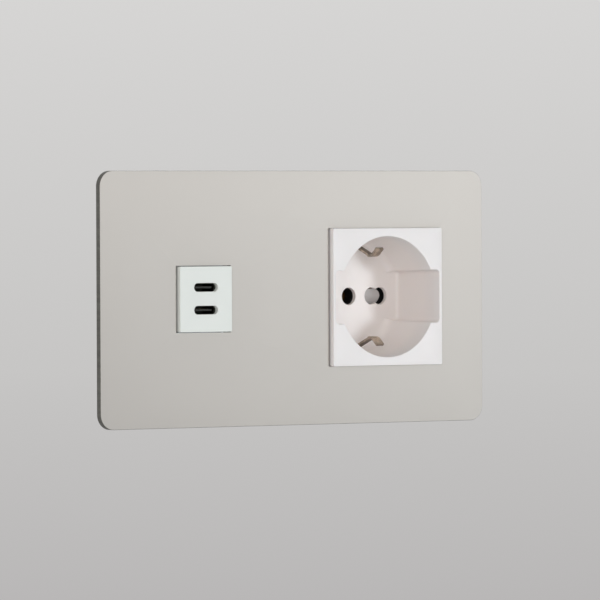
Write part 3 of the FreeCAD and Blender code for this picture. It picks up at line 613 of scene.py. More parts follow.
def moulding(name, colour, gloss=0.42, grain=2600.0, depth=0.012, foot=None):
    """Moulded plastic: spark-eroded grain, slow drift in shade and gloss.

    foot, where given, is a colour of painted shade and the two depths along Y between which it comes in.
    """
    finish = Finish(name)
    drift = finish.noise(40.0)
    fine = finish.noise(grain, detail=2.0)
    shade = finish.shaded(drift.between(0.3, 0.7), colour, 0.012, 0.008)
    if foot:
        # Painted shade over the foot, where given.
        shade = finish.mix(finish.axis("Y").between(*foot[1:]), shade, linear(foot[0]))
    return finish.set(Base_Color=shade, Roughness=gloss + drift.swing(0.08) + fine.swing(0.06),
                      Normal=finish.bump(fine, 0.25, depth * MM), IOR=PLASTIC_IOR)


def metal(name, colour, rough=0.34, brushed=(1, 1, 1), wear=0.06):
    """Plated or rolled metal: cloudy shade, rolling marks and uneven gloss."""
    finish = Finish(name)
    cloud = finish.noise(160.0, detail=4.0)
    marks = finish.noise(900.0, detail=3.0, stretch=brushed)
    shade = finish.shaded(cloud.between(0.25, 0.75), colour, wear, wear / 2)
    return finish.set(Base_Color=shade, Metallic=1.0,
                      Roughness=rough + cloud.swing(0.16) + marks.swing(0.1),
                      Normal=finish.bump(marks, 0.2, 0.01 * MM))


def plate_finish(colours, sizes):
    """Fine matt paint with painted light, lighter up and to the right as a lamp there would leave it, and
    dark metal where the edge shows.

    The paint ends within a tenth of its depth on either side.
    """
    finish = Finish("plate_paint")
    low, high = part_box("face_plate")
    bare = finish.axis("Y").between(low.y + sizes.paint_depth * 0.9, low.y + sizes.paint_depth * 1.1)
    drift = finish.noise(22.0)
    peel = finish.noise(1500.0, detail=2.0)
    # Painted light: the paint is lighter up and to the right as if lit from there, with a faint random
    # drift in tone on top.
    painted_light_and_drift = finish.axis("X") / high.x * 0.03 + finish.axis("Z") / high.z * 0.05 + drift.swing(0.02)
    shade = finish.shaded(painted_light_and_drift.between(-0.08, 0.08), colours.plate, 0.075, 0.075)
    rolled = finish.noise(700.0, detail=4.0, stretch=(1, 0.1, 1))
    edge = finish.shaded(rolled.between(0.3, 0.7), colours.plate_edge, 0.1, 0.1)
    return finish.set(Base_Color=finish.mix(bare, shade, edge), Metallic=bare * 0.2,
                      Roughness=0.56 + peel.swing(0.06) - bare * 0.1,
                      Normal=finish.bump(peel, 0.18, 0.012 * MM), IOR=PAINT_IOR)


def outlet_finish(colours, sizes):
    """White moulding with painted light down the well: lighter and warmer there, as bounced light would
    make it, in full from two fifths of its depth.
    """
    finish = Finish("socket_moulding")
    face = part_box("socket_front")[0].y
    # Painted light: the mask of the lighter, warmer well.
    deep = finish.axis("Y").between(face + sizes.well_rim, face + sizes.well_depth * 0.4)
    drift = finish.noise(45.0)
    fine = finish.noise(2400.0, detail=2.0)
    shade = finish.mix(deep, linear(colours.outlet), linear(colours.outlet_well_painted_light))
    cloudy = finish.mix(drift.between(0.3, 0.7) * 0.06, shade, linear(colours.outlet_cloud))
    return finish.set(Base_Color=cloudy, Roughness=0.46 + drift.swing(0.08) + fine.swing(0.05),
                      Normal=finish.bump(fine, 0.2, 0.01 * MM), IOR=PLASTIC_IOR,
                      Subsurface_Weight=0.06, Subsurface_Scale=1.0,
                      Subsurface_Radius=(1.0 * MM, 0.6 * MM, 0.4 * MM))


def dress(piece, finish, body=WALL_UNIT, nodes=()):
    """Gives a finished piece its material and its body, and hides the CAD nodes that it stands for."""
    piece.data.materials.clear()
    piece.data.materials.append(finish.material)
    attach(piece, body)
    if nodes:
        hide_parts(*nodes)
    return piece


def dress_node(node, finish):
    """Gives a CAD node that stays in view its material."""
    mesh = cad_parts[node].data
    mesh.materials.clear()
    mesh.materials.append(finish.material)


# Places that come from the frame

def middle(node):
    """The centre of a CAD node's box in X and Z."""
    low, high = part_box(node)
    return (low.x + high.x) / 2, (low.z + high.z) / 2


def halves(node):
    """Half the width and half the height of a CAD node's box."""
    low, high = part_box(node)
    return (high.x - low.x) / 2, (high.z - low.z) / 2


# Each port and the side of the module's middle that it lies on.
PORTS = {"upper": 1, "lower": -1}


def port_middle(place, sizes):
    """The centre of a port in X and Z, as the photograph shows it on the module's front."""
    x, z = middle("usb_front")
    return x, z + sizes.port_rise + PORTS[place] * sizes.port_pitch / 2


def solid_boxes(node):
    """The box of each loose solid of a CAD node, as (lowest, highest) pairs sorted by place.

    Each edge gives both its ends the lower of their two numbers until nothing changes, so that
    all points of one solid share a number.
    """
    grown = merged(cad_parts[node].data, 0.001 * MM)
    grown.verts.index_update()
    places = np.array([point.co[:] for point in grown.verts])
    ends = np.array([[point.index for point in edge.verts] for edge in grown.edges]).T
    grown.free()
    number = np.arange(len(places))
    before = -number
    while (number != before).any():
        before = number.copy()
        lowest = number[ends].min(0)
        np.minimum.at(number, ends[0], lowest)
        np.minimum.at(number, ends[1], lowest)
    solids = [places[number == each] for each in np.unique(number)]
    return sorted(((solid.min(0), solid.max(0)) for solid in solids),
                  key=lambda box: tuple(np.round((box[0] + box[1]) / 2, 6)))


def flared_tool(half_x, half_z, corner, edge, face, back, x, z):
    """A cutter whose mouth flares by a quarter circle at the face."""
    outlines, depths = eased(lambda grow: rectangle(half_x + grow, half_z + grow, corner + grow,
                                                    steps=14),
                             edge, face, steps=6)
    outlines = [outlines[0], *outlines, outlines[-1]]
    return point_outwards(stacked("tool", outlines, [face - CLEAR, *depths, back + CLEAR], x, z))


def flared_bore(radius, edge, face, back, x, z):
    """A round cutter whose mouth flares by a quarter circle at the face."""
    radii, depths = eased(lambda grow: radius + grow, edge, face, steps=5)
    profile = [(radius + edge, face - CLEAR), *zip(radii, depths), (radius, back + CLEAR)]
    return point_outwards(turned("tool", profile, x, z, steps=64))


class SOCKET_OT_face_plate(bpy.types.Operator):
    """Makes the flat plate with its two windows and the reliefs in its back"""

    bl_idname = "wall_socket.face_plate"
    bl_label = "Face plate"
    window_corner = 0.1 * MM

    def execute(self, context):
        sizes, colours = context.scene.socket_sizes, context.scene.socket_colours
        low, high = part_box("face_plate")
        outlines, depths = eased(lambda inset: rectangle(high.x - inset, high.z - inset,
                                                         sizes.plate_corner - inset, steps=16),
                                 sizes.plate_edge, low.y, steps=5)
        plate = point_outwards(stacked("face_plate_shown", [*outlines, outlines[-1]],
                                       [*depths, high.y]))
        outlet, _ = halves("socket_front")
        windows = (("socket_front", outlet, outlet, sizes.outlet_end_gap),
                   ("usb_front", sizes.port_width / 2, sizes.port_height / 2, sizes.port_end_gap))
        tools = []
        for node, half_x, half_z, end_gap in windows:
            x, z = middle(node)
            tools.append(flared_tool(half_x + sizes.side_gap, half_z + end_gap, self.window_corner,
                                     sizes.window_edge, low.y, high.y, x, z))
            for rise in (-sizes.screw_rise, sizes.screw_rise):
                tools.append(box_tool(sizes.relief_length / 2, sizes.relief_height / 2,
                                      high.y - sizes.relief_depth, high.y + CLEAR, x, rise))
        plate = point_outwards(carve(plate, tools))
        dress(plate, plate_finish(colours, sizes), nodes=["face_plate"])
        return {"FINISHED"}


class SOCKET_OT_outlet_front(bpy.types.Operator):
    """Makes the outlet's moulded front: cap, keyed well with its coved floor, pin holes and skirt"""

    bl_idname = "wall_socket.outlet_front"
    bl_label = "Outlet front"
    slot_side = 0.5 * MM
    slot_in = 0.3 * MM
    slot_out = 1.5 * MM
    boss_root = 0.1 * MM
    boss_gap = 0.15 * MM
    lug_root = 0.5 * MM
    lug_start = 0.05 * MM
    pilot_radius = 1.0 * MM
    pilot_depth = 9.0 * MM
    inside_corner = 0.1 * MM
    overlap = 0.5 * MM
    overcut = 0.01 * MM
    cove_steps = 10

    def execute(self, context):
        sizes, colours = context.scene.socket_sizes, context.scene.socket_colours
        low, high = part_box("socket_front")
        x, z = middle("socket_front")
        half, _ = halves("socket_front")
        rings = self.rings(sizes, half, low.y, high.y)
        front = add_rings("outlet_front", [ring + [x, 0, z] for ring in rings], closed=True)
        point_outwards(front)
        floor = low.y + sizes.well_depth
        back = floor + sizes.floor_thickness
        reach_x = half - sizes.body_ledge - sizes.body_wall
        reach_z = sizes.body_height / 2 - sizes.body_wall
        carve(front, [self.hollow(sizes, low.y, back, reach_x, reach_z, x, z)])
        carve(front, self.lugs(sizes, x) + self.bosses(sizes, low.y, reach_x, reach_z, x), "UNION")
        tools = []
        for side in (-1, 1):
            for pin in (sizes.inner_pin, sizes.outer_pin):
                tools.append(flared_bore(sizes.hole_radius, sizes.hole_edge, floor, back,
                                         x + side * pin, z))
            boss = reach_x - sizes.boss_size / 2 + self.boss_root
            rise = reach_z - sizes.boss_size / 2 + self.boss_root
            end = self.boss_end()
            profile = [(self.pilot_radius, end - self.pilot_depth),
                       (self.pilot_radius, end + CLEAR)]
            tools.append(point_outwards(turned("tool", profile, x + side * boss, -side * rise)))
        for node in ("earth_finger_top", "earth_finger_bottom"):
            tools.append(self.finger_slot(node, sizes, x, floor, back))
        point_outwards(carve(front, tools))
        dress(front, outlet_finish(colours, sizes), nodes=["socket_front"])
        return {"FINISHED"}

    def boss_end(self):
        """Where the case screws' bosses end, on the plate that carries the shutter."""
        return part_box("shutter")[1].y + self.boss_gap

    def hollow(self, sizes, face, back, reach_x, reach_z, x, z):
        """What stays open between skirt and cup: a box less the round cup and its side pockets."""
        start, end = face + sizes.face_web, back + self.overlap
        room = box_tool(reach_x + self.overcut, reach_z + self.overcut, start, end, x, z)
        radius = sizes.well_radius + sizes.cup_wall
        cup = point_outwards(turned("tool", [(radius, face), (radius, end + CLEAR)], x, z, steps=96))
        pockets = box_tool(reach_x + CLEAR, sizes.pocket_height / 2 + sizes.cup_wall, face,
                           end + CLEAR, x, z)
        return point_outwards(carve(room, [cup, pockets]))

    def lugs(self, sizes, x):
        """Wedges above and below the skirt that snap behind the mounting frame."""
        wedges = []
        for side in (-1, 1):
            wall = side * sizes.body_height / 2
            root = wall - side * self.lug_root
            start, end = self.lug_start, self.lug_start + sizes.lug_length
            section = np.array([(start, root), (start, wall + side * sizes.lug_rise), (end, wall),
                                (end, root)])
            wedges.append(point_outwards(prism("tool", section, x - sizes.lug_width / 2,
                                               x + sizes.lug_width / 2)))
        return wedges

    def bosses(self, sizes, face, reach_x, reach_z, x):
        """Square posts in two opposite corners, from the face's web to the shutter's carrier."""
        half = sizes.boss_size / 2
        offset_x, offset_z = reach_x - half + self.boss_root, reach_z - half + self.boss_root
        start = face + sizes.face_web - self.overlap
        return [box_tool(half, half, start, self.boss_end(), x + side * offset_x, -side * offset_z)
                for side in (-1, 1)]

    def finger_slot(self, node, sizes, x, floor, back):
        """The slot in the floor that an earth finger stands in, with room outside it to flex."""
        low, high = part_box(node)
        outside = 1 if high.z > 0 else -1
        leg = high.z if outside > 0 else low.z
        inner = leg - outside * (sizes.finger_thickness + self.slot_in)
        outer = leg + outside * self.slot_out
        return box_tool(sizes.finger_width / 2 + self.slot_side, abs(outer - inner) / 2,
                        floor - sizes.well_cove, back + CLEAR, x, (inner + outer) / 2)

    def rings(self, sizes, half, face, end):
        """Rings about the outlet's axis, out from the earth hole over the front and back inside.

        Floor, cove, wall, rim and face use the keyed round; the cove's radius shrinks to the
        pocket's foot radius along the pocket walls. Cap and skirt use rays to rectangles.
        """
        floor = face + sizes.well_depth
        back = floor + sizes.floor_thickness
        pocket = sizes.pocket_height / 2
        foot_radius = sizes.well_radius - sizes.well_draft
        foot_reach = sizes.pocket_reach - sizes.pocket_draft
        foot_height = pocket - sizes.well_draft / 2
        share = round_share()
        cove = sizes.pocket_foot + (sizes.well_cove - sizes.pocket_foot) * share
        rays = keyed_round(sizes.well_radius, sizes.pocket_reach, pocket, sizes.pocket_corner)
        rings = [standing(rays_to_circle(rays, sizes.hole_radius + grow), floor + sink)
                 for grow, sink in rounding(sizes.hole_edge, steps=5)]
        hole = rays_to_circle(rays, sizes.hole_radius + sizes.hole_edge)
        flat = keyed_round(foot_radius - sizes.well_cove, foot_reach - sizes.pocket_foot,
                           foot_height - sizes.pocket_foot, sizes.pocket_corner)
        rings += [standing(outline, floor) for outline in on_the_way(hole, flat)]
        for turn in np.linspace(math.pi / 2, 0, self.cove_steps):
            inset = 1 - math.cos(turn)
            outline = keyed_round(foot_radius - sizes.well_cove * inset,
                                  foot_reach - sizes.pocket_foot * inset,
                                  foot_height - sizes.pocket_foot * inset, sizes.pocket_corner)
            rings.append(standing(outline, floor - cove * (1 - math.sin(turn))))
        for grow, sink in rounding(sizes.well_rim, steps=6):
            outline = keyed_round(sizes.well_radius + grow, sizes.pocket_reach + grow,
                                  pocket + grow, sizes.pocket_corner + grow)
            rings.append(standing(outline, face + sink))
        for inset, sink in reversed(rounding(sizes.module_edge, steps=5)):
            outline = rays_to_rectangle(rays, half - inset, half - inset, sizes.module_corner)
            rings.append(standing(outline, face + sink))
        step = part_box("face_plate")[1].y
        cap = rays_to_rectangle(rays, half, half, sizes.module_corner)
        body_x, body_z = half - sizes.body_ledge, sizes.body_height / 2
        skirt = rays_to_rectangle(rays, body_x, body_z, sizes.body_corner)
        inside = rays_to_rectangle(rays, body_x - sizes.body_wall, body_z - sizes.body_wall,
                                   self.inside_corner)
        bore = rays_to_circle(rays, sizes.hole_radius)
        return rings + [standing(cap, step), standing(skirt, step), standing(skirt, end),
                        standing(inside, end), standing(inside, back), standing(bore, back)]


class SOCKET_OT_shutter(bpy.types.Operator):
    """Makes the shutter: a hub ring and two round-ended arms, each with its ramp"""

    bl_idname = "wall_socket.shutter"
    bl_label = "Shutter"
    hub_radius = 5.7 * MM
    bore_radius = 4.1 * MM
    arm_half = 2.4 * MM
    ramp_depth = 0.8 * MM
    # The share of its half width that an arm gains on the side of its ramp.
    ramp_spread = 0.17
    edge = 0.18 * MM

    def execute(self, context):
        colours = context.scene.socket_colours
        low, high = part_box("shutter")
        x, z = middle("shutter")
        outlines, depths = eased(self.outline, self.edge, low.y, steps=5)
        flat = outlines[-1]
        bore = rays_to_circle(flat, self.bore_radius)
        rings = [standing(bore, high.y), self.ramped(bore, low.y)]
        rings += [self.ramped(outline, low.y) for outline in on_the_way(bore, flat)]
        rings += [self.ramped(outline, y) for outline, y in zip(outlines, depths)]
        rings.append(standing(flat, high.y))
        shutter = add_rings("shutter_shown", [ring + [x, 0, z] for ring in rings], closed=True)
        point_outwards(shutter, sharp_angle=40)
        dress(shutter, moulding("shutter_moulding", colours.shutter, gloss=0.38),
              body="shutter_rotor", nodes=["shutter"])
        return {"FINISHED"}

    def outline(self, inset):
        """The shutter's outline, set in by a length from its full size.

        Each arm is widened on the side of its ramp, so that it covers that edge of the pin hole.
        """
        reach, _ = halves("shutter")
        outline = keyed_round(self.hub_radius - inset, reach - inset, self.arm_half - inset,
                              self.arm_half - inset)
        arm = np.abs(outline[:, 0]) > self.hub_radius
        ramp = arm & (np.sign(outline[:, 0]) * outline[:, 1] < 0)
        return outline * np.column_stack([np.ones(len(outline)), 1 + self.ramp_spread * ramp])

    def ramped(self, outline, y):
        """Sinks each arm's far half: the depth grows from its middle line to its edge."""
        side = np.sign(outline[:, 0]) * (np.abs(outline[:, 0]) > self.hub_radius)
        fall = np.clip(-side * outline[:, 1] / self.arm_half, 0, 1)
        return standing(outline, y + self.ramp_depth * fall)


class SOCKET_OT_earth_fingers(bpy.types.Operator):
    """Makes the two sprung earth fingers, each a strip bent to a soft V"""

    bl_idname = "wall_socket.earth_fingers"
    bl_label = "Earth fingers"
    # Each place: its depth behind the outlet's face, and how far it lies in from the well's mouth.
    tip = (4.45 * MM, 4.0 * MM)
    apex = (7.75 * MM, 6.85 * MM)
    leg = (16.85 * MM, 3.2 * MM)
    shoulder = 9.15 * MM
    shoulder_length = 0.25 * MM
    bend = 3.2 * MM
    edge = 0.14 * MM

    def execute(self, context):
        sizes, colours = context.scene.socket_sizes, context.scene.socket_colours
        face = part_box("socket_front")[0].y
        finish = finger_finish(colours)
        for node, side, body in (("earth_finger_top", 1, "top_finger"),
                                 ("earth_finger_bottom", -1, "bottom_finger")):
            x, _ = middle(node)
            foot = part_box(node)[1].y
            places = [(x, face + depth, side * (sizes.well_radius - inset))
                      for depth, inset in (self.tip, self.apex, self.leg)]
            places.append((x, foot, places[-1][2]))
            path, widths = self.shouldered(bent_path(places, self.bend), face, sizes)
            finger = strip(node + "_shown", path, widths, sizes.finger_thickness, self.edge)
            self.mark_outward(finger, path, side)
            point_outwards(finger)
            dress(finger, finish, body=body, nodes=[node])
        return {"FINISHED"}

    def shouldered(self, path, face, sizes):
        """Adds path points at the shoulder, and the strip's width at each point of the path."""
        steps = face + self.shoulder + np.array([0.0, self.shoulder_length])
        depth = np.sort(np.concatenate([path[:, 1], steps]))
        rise = np.interp(depth, path[:, 1], path[:, 2])
        widths = np.interp(depth, steps, [sizes.finger_width, sizes.leg_width])
        return np.column_stack([np.full(len(depth), path[0, 0]), depth, rise]), widths

    def mark_outward(self, finger, path, side):
        """Writes how far out of the strip's centre line each point lies, in millimetres, for the painted
        shade on its outward side.
        """
        points = np.empty((len(finger.data.vertices), 3), np.float32)
        finger.data.vertices.foreach_get("co", points.ravel())
        centre = np.interp(points[:, 1], path[:, 1], path[:, 2])
        mark = finger.data.attributes.new("outward", "FLOAT", "POINT")
        mark.data.foreach_set("value", side * (points[:, 2] - centre) / MM)


def finger_finish(colours):
    """Tinned bronze: streaked along the strip, browner in patches, with painted shade on its outward side,
    darker and duller there.

    The attribute outward is in millimetres, and the strip's own side lies at 0.45.
    """
    finish = Finish("earth_spring")
    streak = finish.noise(700.0, detail=5.0, stretch=(3, 0.6, 0.6))
    blotch = finish.noise(420.0, detail=3.0)
    outward = finish.node("ShaderNodeAttribute", {"attribute_name": "outward"}, {}, "Fac")
    # Painted shade: the outward side is darkened, as the shade between finger and wall would leave it.
    outward_shade = outward.between(0.34, 0.42)
    shade = finish.shaded(blotch.between(0.35, 0.65), colours.finger, 0.25, 0.1)
    shade = finish.mix(outward_shade * 0.8, shade, linear(tinted(colours.finger, -0.45)))
    return finish.set(Base_Color=shade, Metallic=1.0,
                      Roughness=0.3 + streak.swing(0.3) + outward_shade * 0.12,
                      Normal=finish.bump(streak, 0.4, 0.02 * MM))


class SOCKET_OT_charging_front(bpy.types.Operator):
    """Makes the charging module's square front with its two slots, flange and inner hollow"""

    bl_idname = "wall_socket.charging_front"
    bl_label = "Charging front"
    flange_corner = 2.0 * MM
    flange_thickness = 1.6 * MM
    # Painted shade on the foot comes in between these places along Y.
    foot = (-1.5 * MM, -1.2 * MM)
    hollow_wall = 1.2 * MM
    post_size = 3.2 * MM

    def execute(self, context):
        sizes, colours = context.scene.socket_sizes, context.scene.socket_colours
        low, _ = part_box("usb_front")
        x, z = middle("usb_front")
        half_x, half_z = sizes.port_width / 2, sizes.port_height / 2
        outlines, depths = eased(lambda inset: rectangle(half_x - inset, half_z - inset,
                                                         sizes.module_corner),
                                 sizes.port_edge, low.y, steps=6)
        flange = rectangle(*halves("usb_front"), self.flange_corner)
        outlines += [outlines[-1], flange, flange]
        depths += [0.0, 0.0, self.flange_thickness]
        front = point_outwards(stacked("charging_front", outlines, depths, x, z))
        carve(front, self.posts(x), "UNION")
        inside = low.y + sizes.port_wall
        tools = [box_tool(half_x - self.hollow_wall, half_z - self.hollow_wall, inside,
                          self.flange_thickness + CLEAR, x, z)]
        for place in PORTS:
            tools.append(flared_tool(sizes.slot_width / 2, sizes.slot_height / 2,
                                     sizes.slot_height / 2 * OVAL, sizes.slot_edge, low.y, inside,
                                     *port_middle(place, sizes)))
        point_outwards(carve(front, tools))
        # Painted shade: the foot and flange are made dark for the shadowed gap, as the line round the
        # module shows in the photograph.
        finish = moulding("port_moulding", colours.port, gloss=0.46,
                          foot=(colours.dark, *self.foot))
        dress(front, finish, nodes=["usb_front"])
        return {"FINISHED"}

    def posts(self, x):
        """Four square posts under the port board's corners, standing on the flange."""
        board_x, board_z = halves("port_board")
        half = self.post_size / 2
        return [box_tool(half, half, self.flange_thickness / 2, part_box("port_board")[0].y,
                         x + side * (board_x - half), end * (board_z - half))
                for side in (-1, 1) for end in (-1, 1)]


class SOCKET_OT_ports(bpy.types.Operator):
    """Makes each port's drawn shell and its tongue with two rows of contact pads"""

    bl_idname = "wall_socket.ports"
    bl_label = "Port shells and tongues"
    shell_wall = 0.3 * MM
    tongue_half = 0.33 * MM
    tongue_edge = 0.2 * MM
    root_length = 1.4 * MM
    pad_count = 12
    pad_width = 0.25 * MM
    pad_pitch = 0.5 * MM
    pad_rise = 0.01 * MM
    pad_setback = 1.4 * MM
    pad_length = 2.8 * MM

    def execute(self, context):
        sizes, colours = context.scene.socket_sizes, context.scene.socket_colours
        # Painted shade: the shell is dark for the shade deep in each slot.
        shell_finish = metal("dark_shell", colours.shell, rough=0.42)
        tongue_finish = moulding("tongue_moulding", colours.tongue, gloss=0.46, grain=1800.0)
        pad_finish = metal("contact_pads", colours.brass, rough=0.4)
        for place in PORTS:
            x, z = port_middle(place, sizes)
            dress(self.shell(place, x, z), shell_finish, nodes=[place + "_port_shell"])
            dress(self.tongue(place, x, z), tongue_finish,
                  nodes=[place + "_port_tongue"])
            dress(self.pads(place, x, z), pad_finish)
        return {"FINISHED"}

    def shell(self, place, x, z):
        """An oval tube with a rounded front lip: outer oval, over the lip, inner oval."""
        low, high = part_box(place + "_port_shell")
        half_x, half_z = halves(place + "_port_shell")
        end = high.y - low.y
        lip = rounding(self.shell_wall / 2, steps=7, end=math.pi)
        rings = [standing(rectangle(half_x - inset, half_z - inset, (half_z - inset) * OVAL, steps=14),
                          low.y + sink, x, z)
                 for inset, sink in [(0.0, end), *lip, (self.shell_wall, end)]]
        return point_outwards(add_rings(place + "_shell_shown", rings, closed=True))

    def tongue(self, place, x, z):
        """A flat bar with a rounded nose, on the block at its root."""
        low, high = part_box(place + "_port_tongue")
        half_x, half_z = halves(place + "_port_tongue")
        root = high.y - self.root_length
        outlines, depths = eased(lambda inset: rectangle(half_x - inset, self.tongue_half - inset,
                                                         self.tongue_edge, steps=5),
                                 self.tongue_edge, low.y, steps=5)
        block = rectangle(half_x, half_z, self.tongue_edge, steps=5)
        outlines += [outlines[-1], block, block]
        depths += [root, root, high.y]
        return point_outwards(stacked(place + "_tongue_shown", outlines, depths, x, z))

    def pads(self, place, x, z):
        """Rows of thin pads on both faces of the tongue, evenly pitched."""
        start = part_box(place + "_port_tongue")[0].y + self.pad_setback
        outline = rectangle(self.pad_width / 2, self.pad_rise, self.pad_rise / 2, steps=3)
        places = (np.arange(self.pad_count) - (self.pad_count - 1) / 2) * self.pad_pitch
        rows = [stacked("pad", [outline, outline], [start, start + self.pad_length], x + across,
                        z + side * self.tongue_half)
                for side in (-1, 1) for across in places]
        return point_outwards(joined(place + "_contact_pads", rows))


class SOCKET_OT_screws(bpy.types.Operator):
    """Makes the case, terminal and inlet screws with their driven heads; the countersunk ones only get a
    finish
    """

    bl_idname = "wall_socket.screws"
    bl_label = "Screws"
    # Each node's head radius, shank radius and head height in millimetres, and its drive.
    kinds = (("case_screws", 1.9, 0.95, 1.2, "cross"),
             ("terminal_screws", 2.4, 1.45, 1.4, "slot"),
             ("inlet_screws", 1.4, 1.4, 0.6, "slot"))
    crown_edge = 0.35 * MM
    drive_half = 0.35 * MM
    # Shares: of the shank in its point, of the head's height in the drive, of its radius per arm.
    point_share = 0.6
    drive_depth = 0.55
    drive_reach = {"cross": 0.6, "slot": 1.2}

    def execute(self, context):
        colours = context.scene.socket_colours
        steel = metal("plated_steel", colours.steel, rough=0.3)
        for node, head, shank, height, drive in self.kinds:
            screws = [self.screw(box, head * MM, shank * MM, height * MM, drive)
                      for box in solid_boxes(node)]
            dress(point_outwards(joined(node + "_shown", screws)), steel,
                  nodes=[node])
        dress_node("fixing_screws", steel)
        return {"FINISHED"}

    def screw(self, box, head, shank, height, drive):
        """A screw whose head is towards the back: profile turned about Y, then its drive cut."""
        (x0, y0, z0), (x1, y1, z1) = box
        x, z = (x0 + x1) / 2, (z0 + z1) / 2
        point, seat = shank * self.point_share, y1 - height
        profile = [(point, y0), (shank, y0 + point), (shank, seat), (head, seat)]
        profile += [(head - inset, y1 - sink)
                    for inset, sink in rounding(min(self.crown_edge, height / 2), steps=6)]
        screw = point_outwards(turned("screw", profile, x, z))
        deep, long = y1 - height * self.drive_depth, head * self.drive_reach[drive]
        tools = [box_tool(long, self.drive_half, deep, y1 + CLEAR, x, z)]
        if drive == "cross":
            tools.append(box_tool(self.drive_half, long, deep, y1 + CLEAR, x, z))
        return carve(screw, tools)


class SOCKET_OT_carried_nodes(bpy.types.Operator):
    """Gives every CAD node that stays in view its finish"""

    bl_idname = "wall_socket.carried_nodes"
    bl_label = "Metal, housings and boards"

    def execute(self, context):
        colours = context.scene.socket_colours
        groups = (
            (metal("zinc_steel", colours.steel, rough=0.36, brushed=(1, 1, 0.08)),
             ["mounting_frame"]),
            (metal("stud_steel", colours.steel, rough=0.3), ["plate_studs"]),
            (metal("spring_steel", colours.spring, rough=0.28, brushed=(0.1, 1, 1)),
             ["stud_clips", "shutter_spring"]),
            (metal("contact_brass", colours.brass, rough=0.26, brushed=(1, 0.1, 1)),
             ["live_contact", "neutral_contact", "terminal_blocks", "board_pins"]),
            # Partly painted shade: real bronze, darkened for the shade inside the earth hole.
            (metal("earth_bronze_and_shade", colours.bronze, rough=0.4, brushed=(1, 0.1, 1)),
             ["earth_bridge", "earth_pin_contact"]),
            (moulding("grey_moulding", colours.grey), ["socket_base"]),
            # Painted shade: the carrier is near-black for the shade inside the pin holes.
            (moulding("carrier_painted_shade", colours.carrier, gloss=0.5), ["shutter_carrier"]),
            (moulding("dark_moulding", colours.dark, gloss=0.45), ["usb_housing"]),
            (moulding("terminal_moulding", colours.terminal), ["inlet_block"]),
            (moulding("board", colours.board, gloss=0.3, grain=900.0), ["port_board", "power_board"]),
            (moulding("ferrite", colours.ferrite, gloss=0.6, grain=1400.0, depth=0.03),
             ["transformer_core"]),
            (moulding("coil_tape", colours.tape, gloss=0.28, grain=600.0), ["transformer_coil"]),
            (moulding("capacitor_sleeve", colours.sleeve, gloss=0.25, grain=500.0),
             ["input_capacitors", "output_capacitors"]),
            (moulding("chip_resin", colours.resin, gloss=0.5, grain=3000.0), ["control_chips"]),
        )
        for finish, nodes in groups:
            for node in nodes:
                dress_node(node, finish)
        return {"FINISHED"}


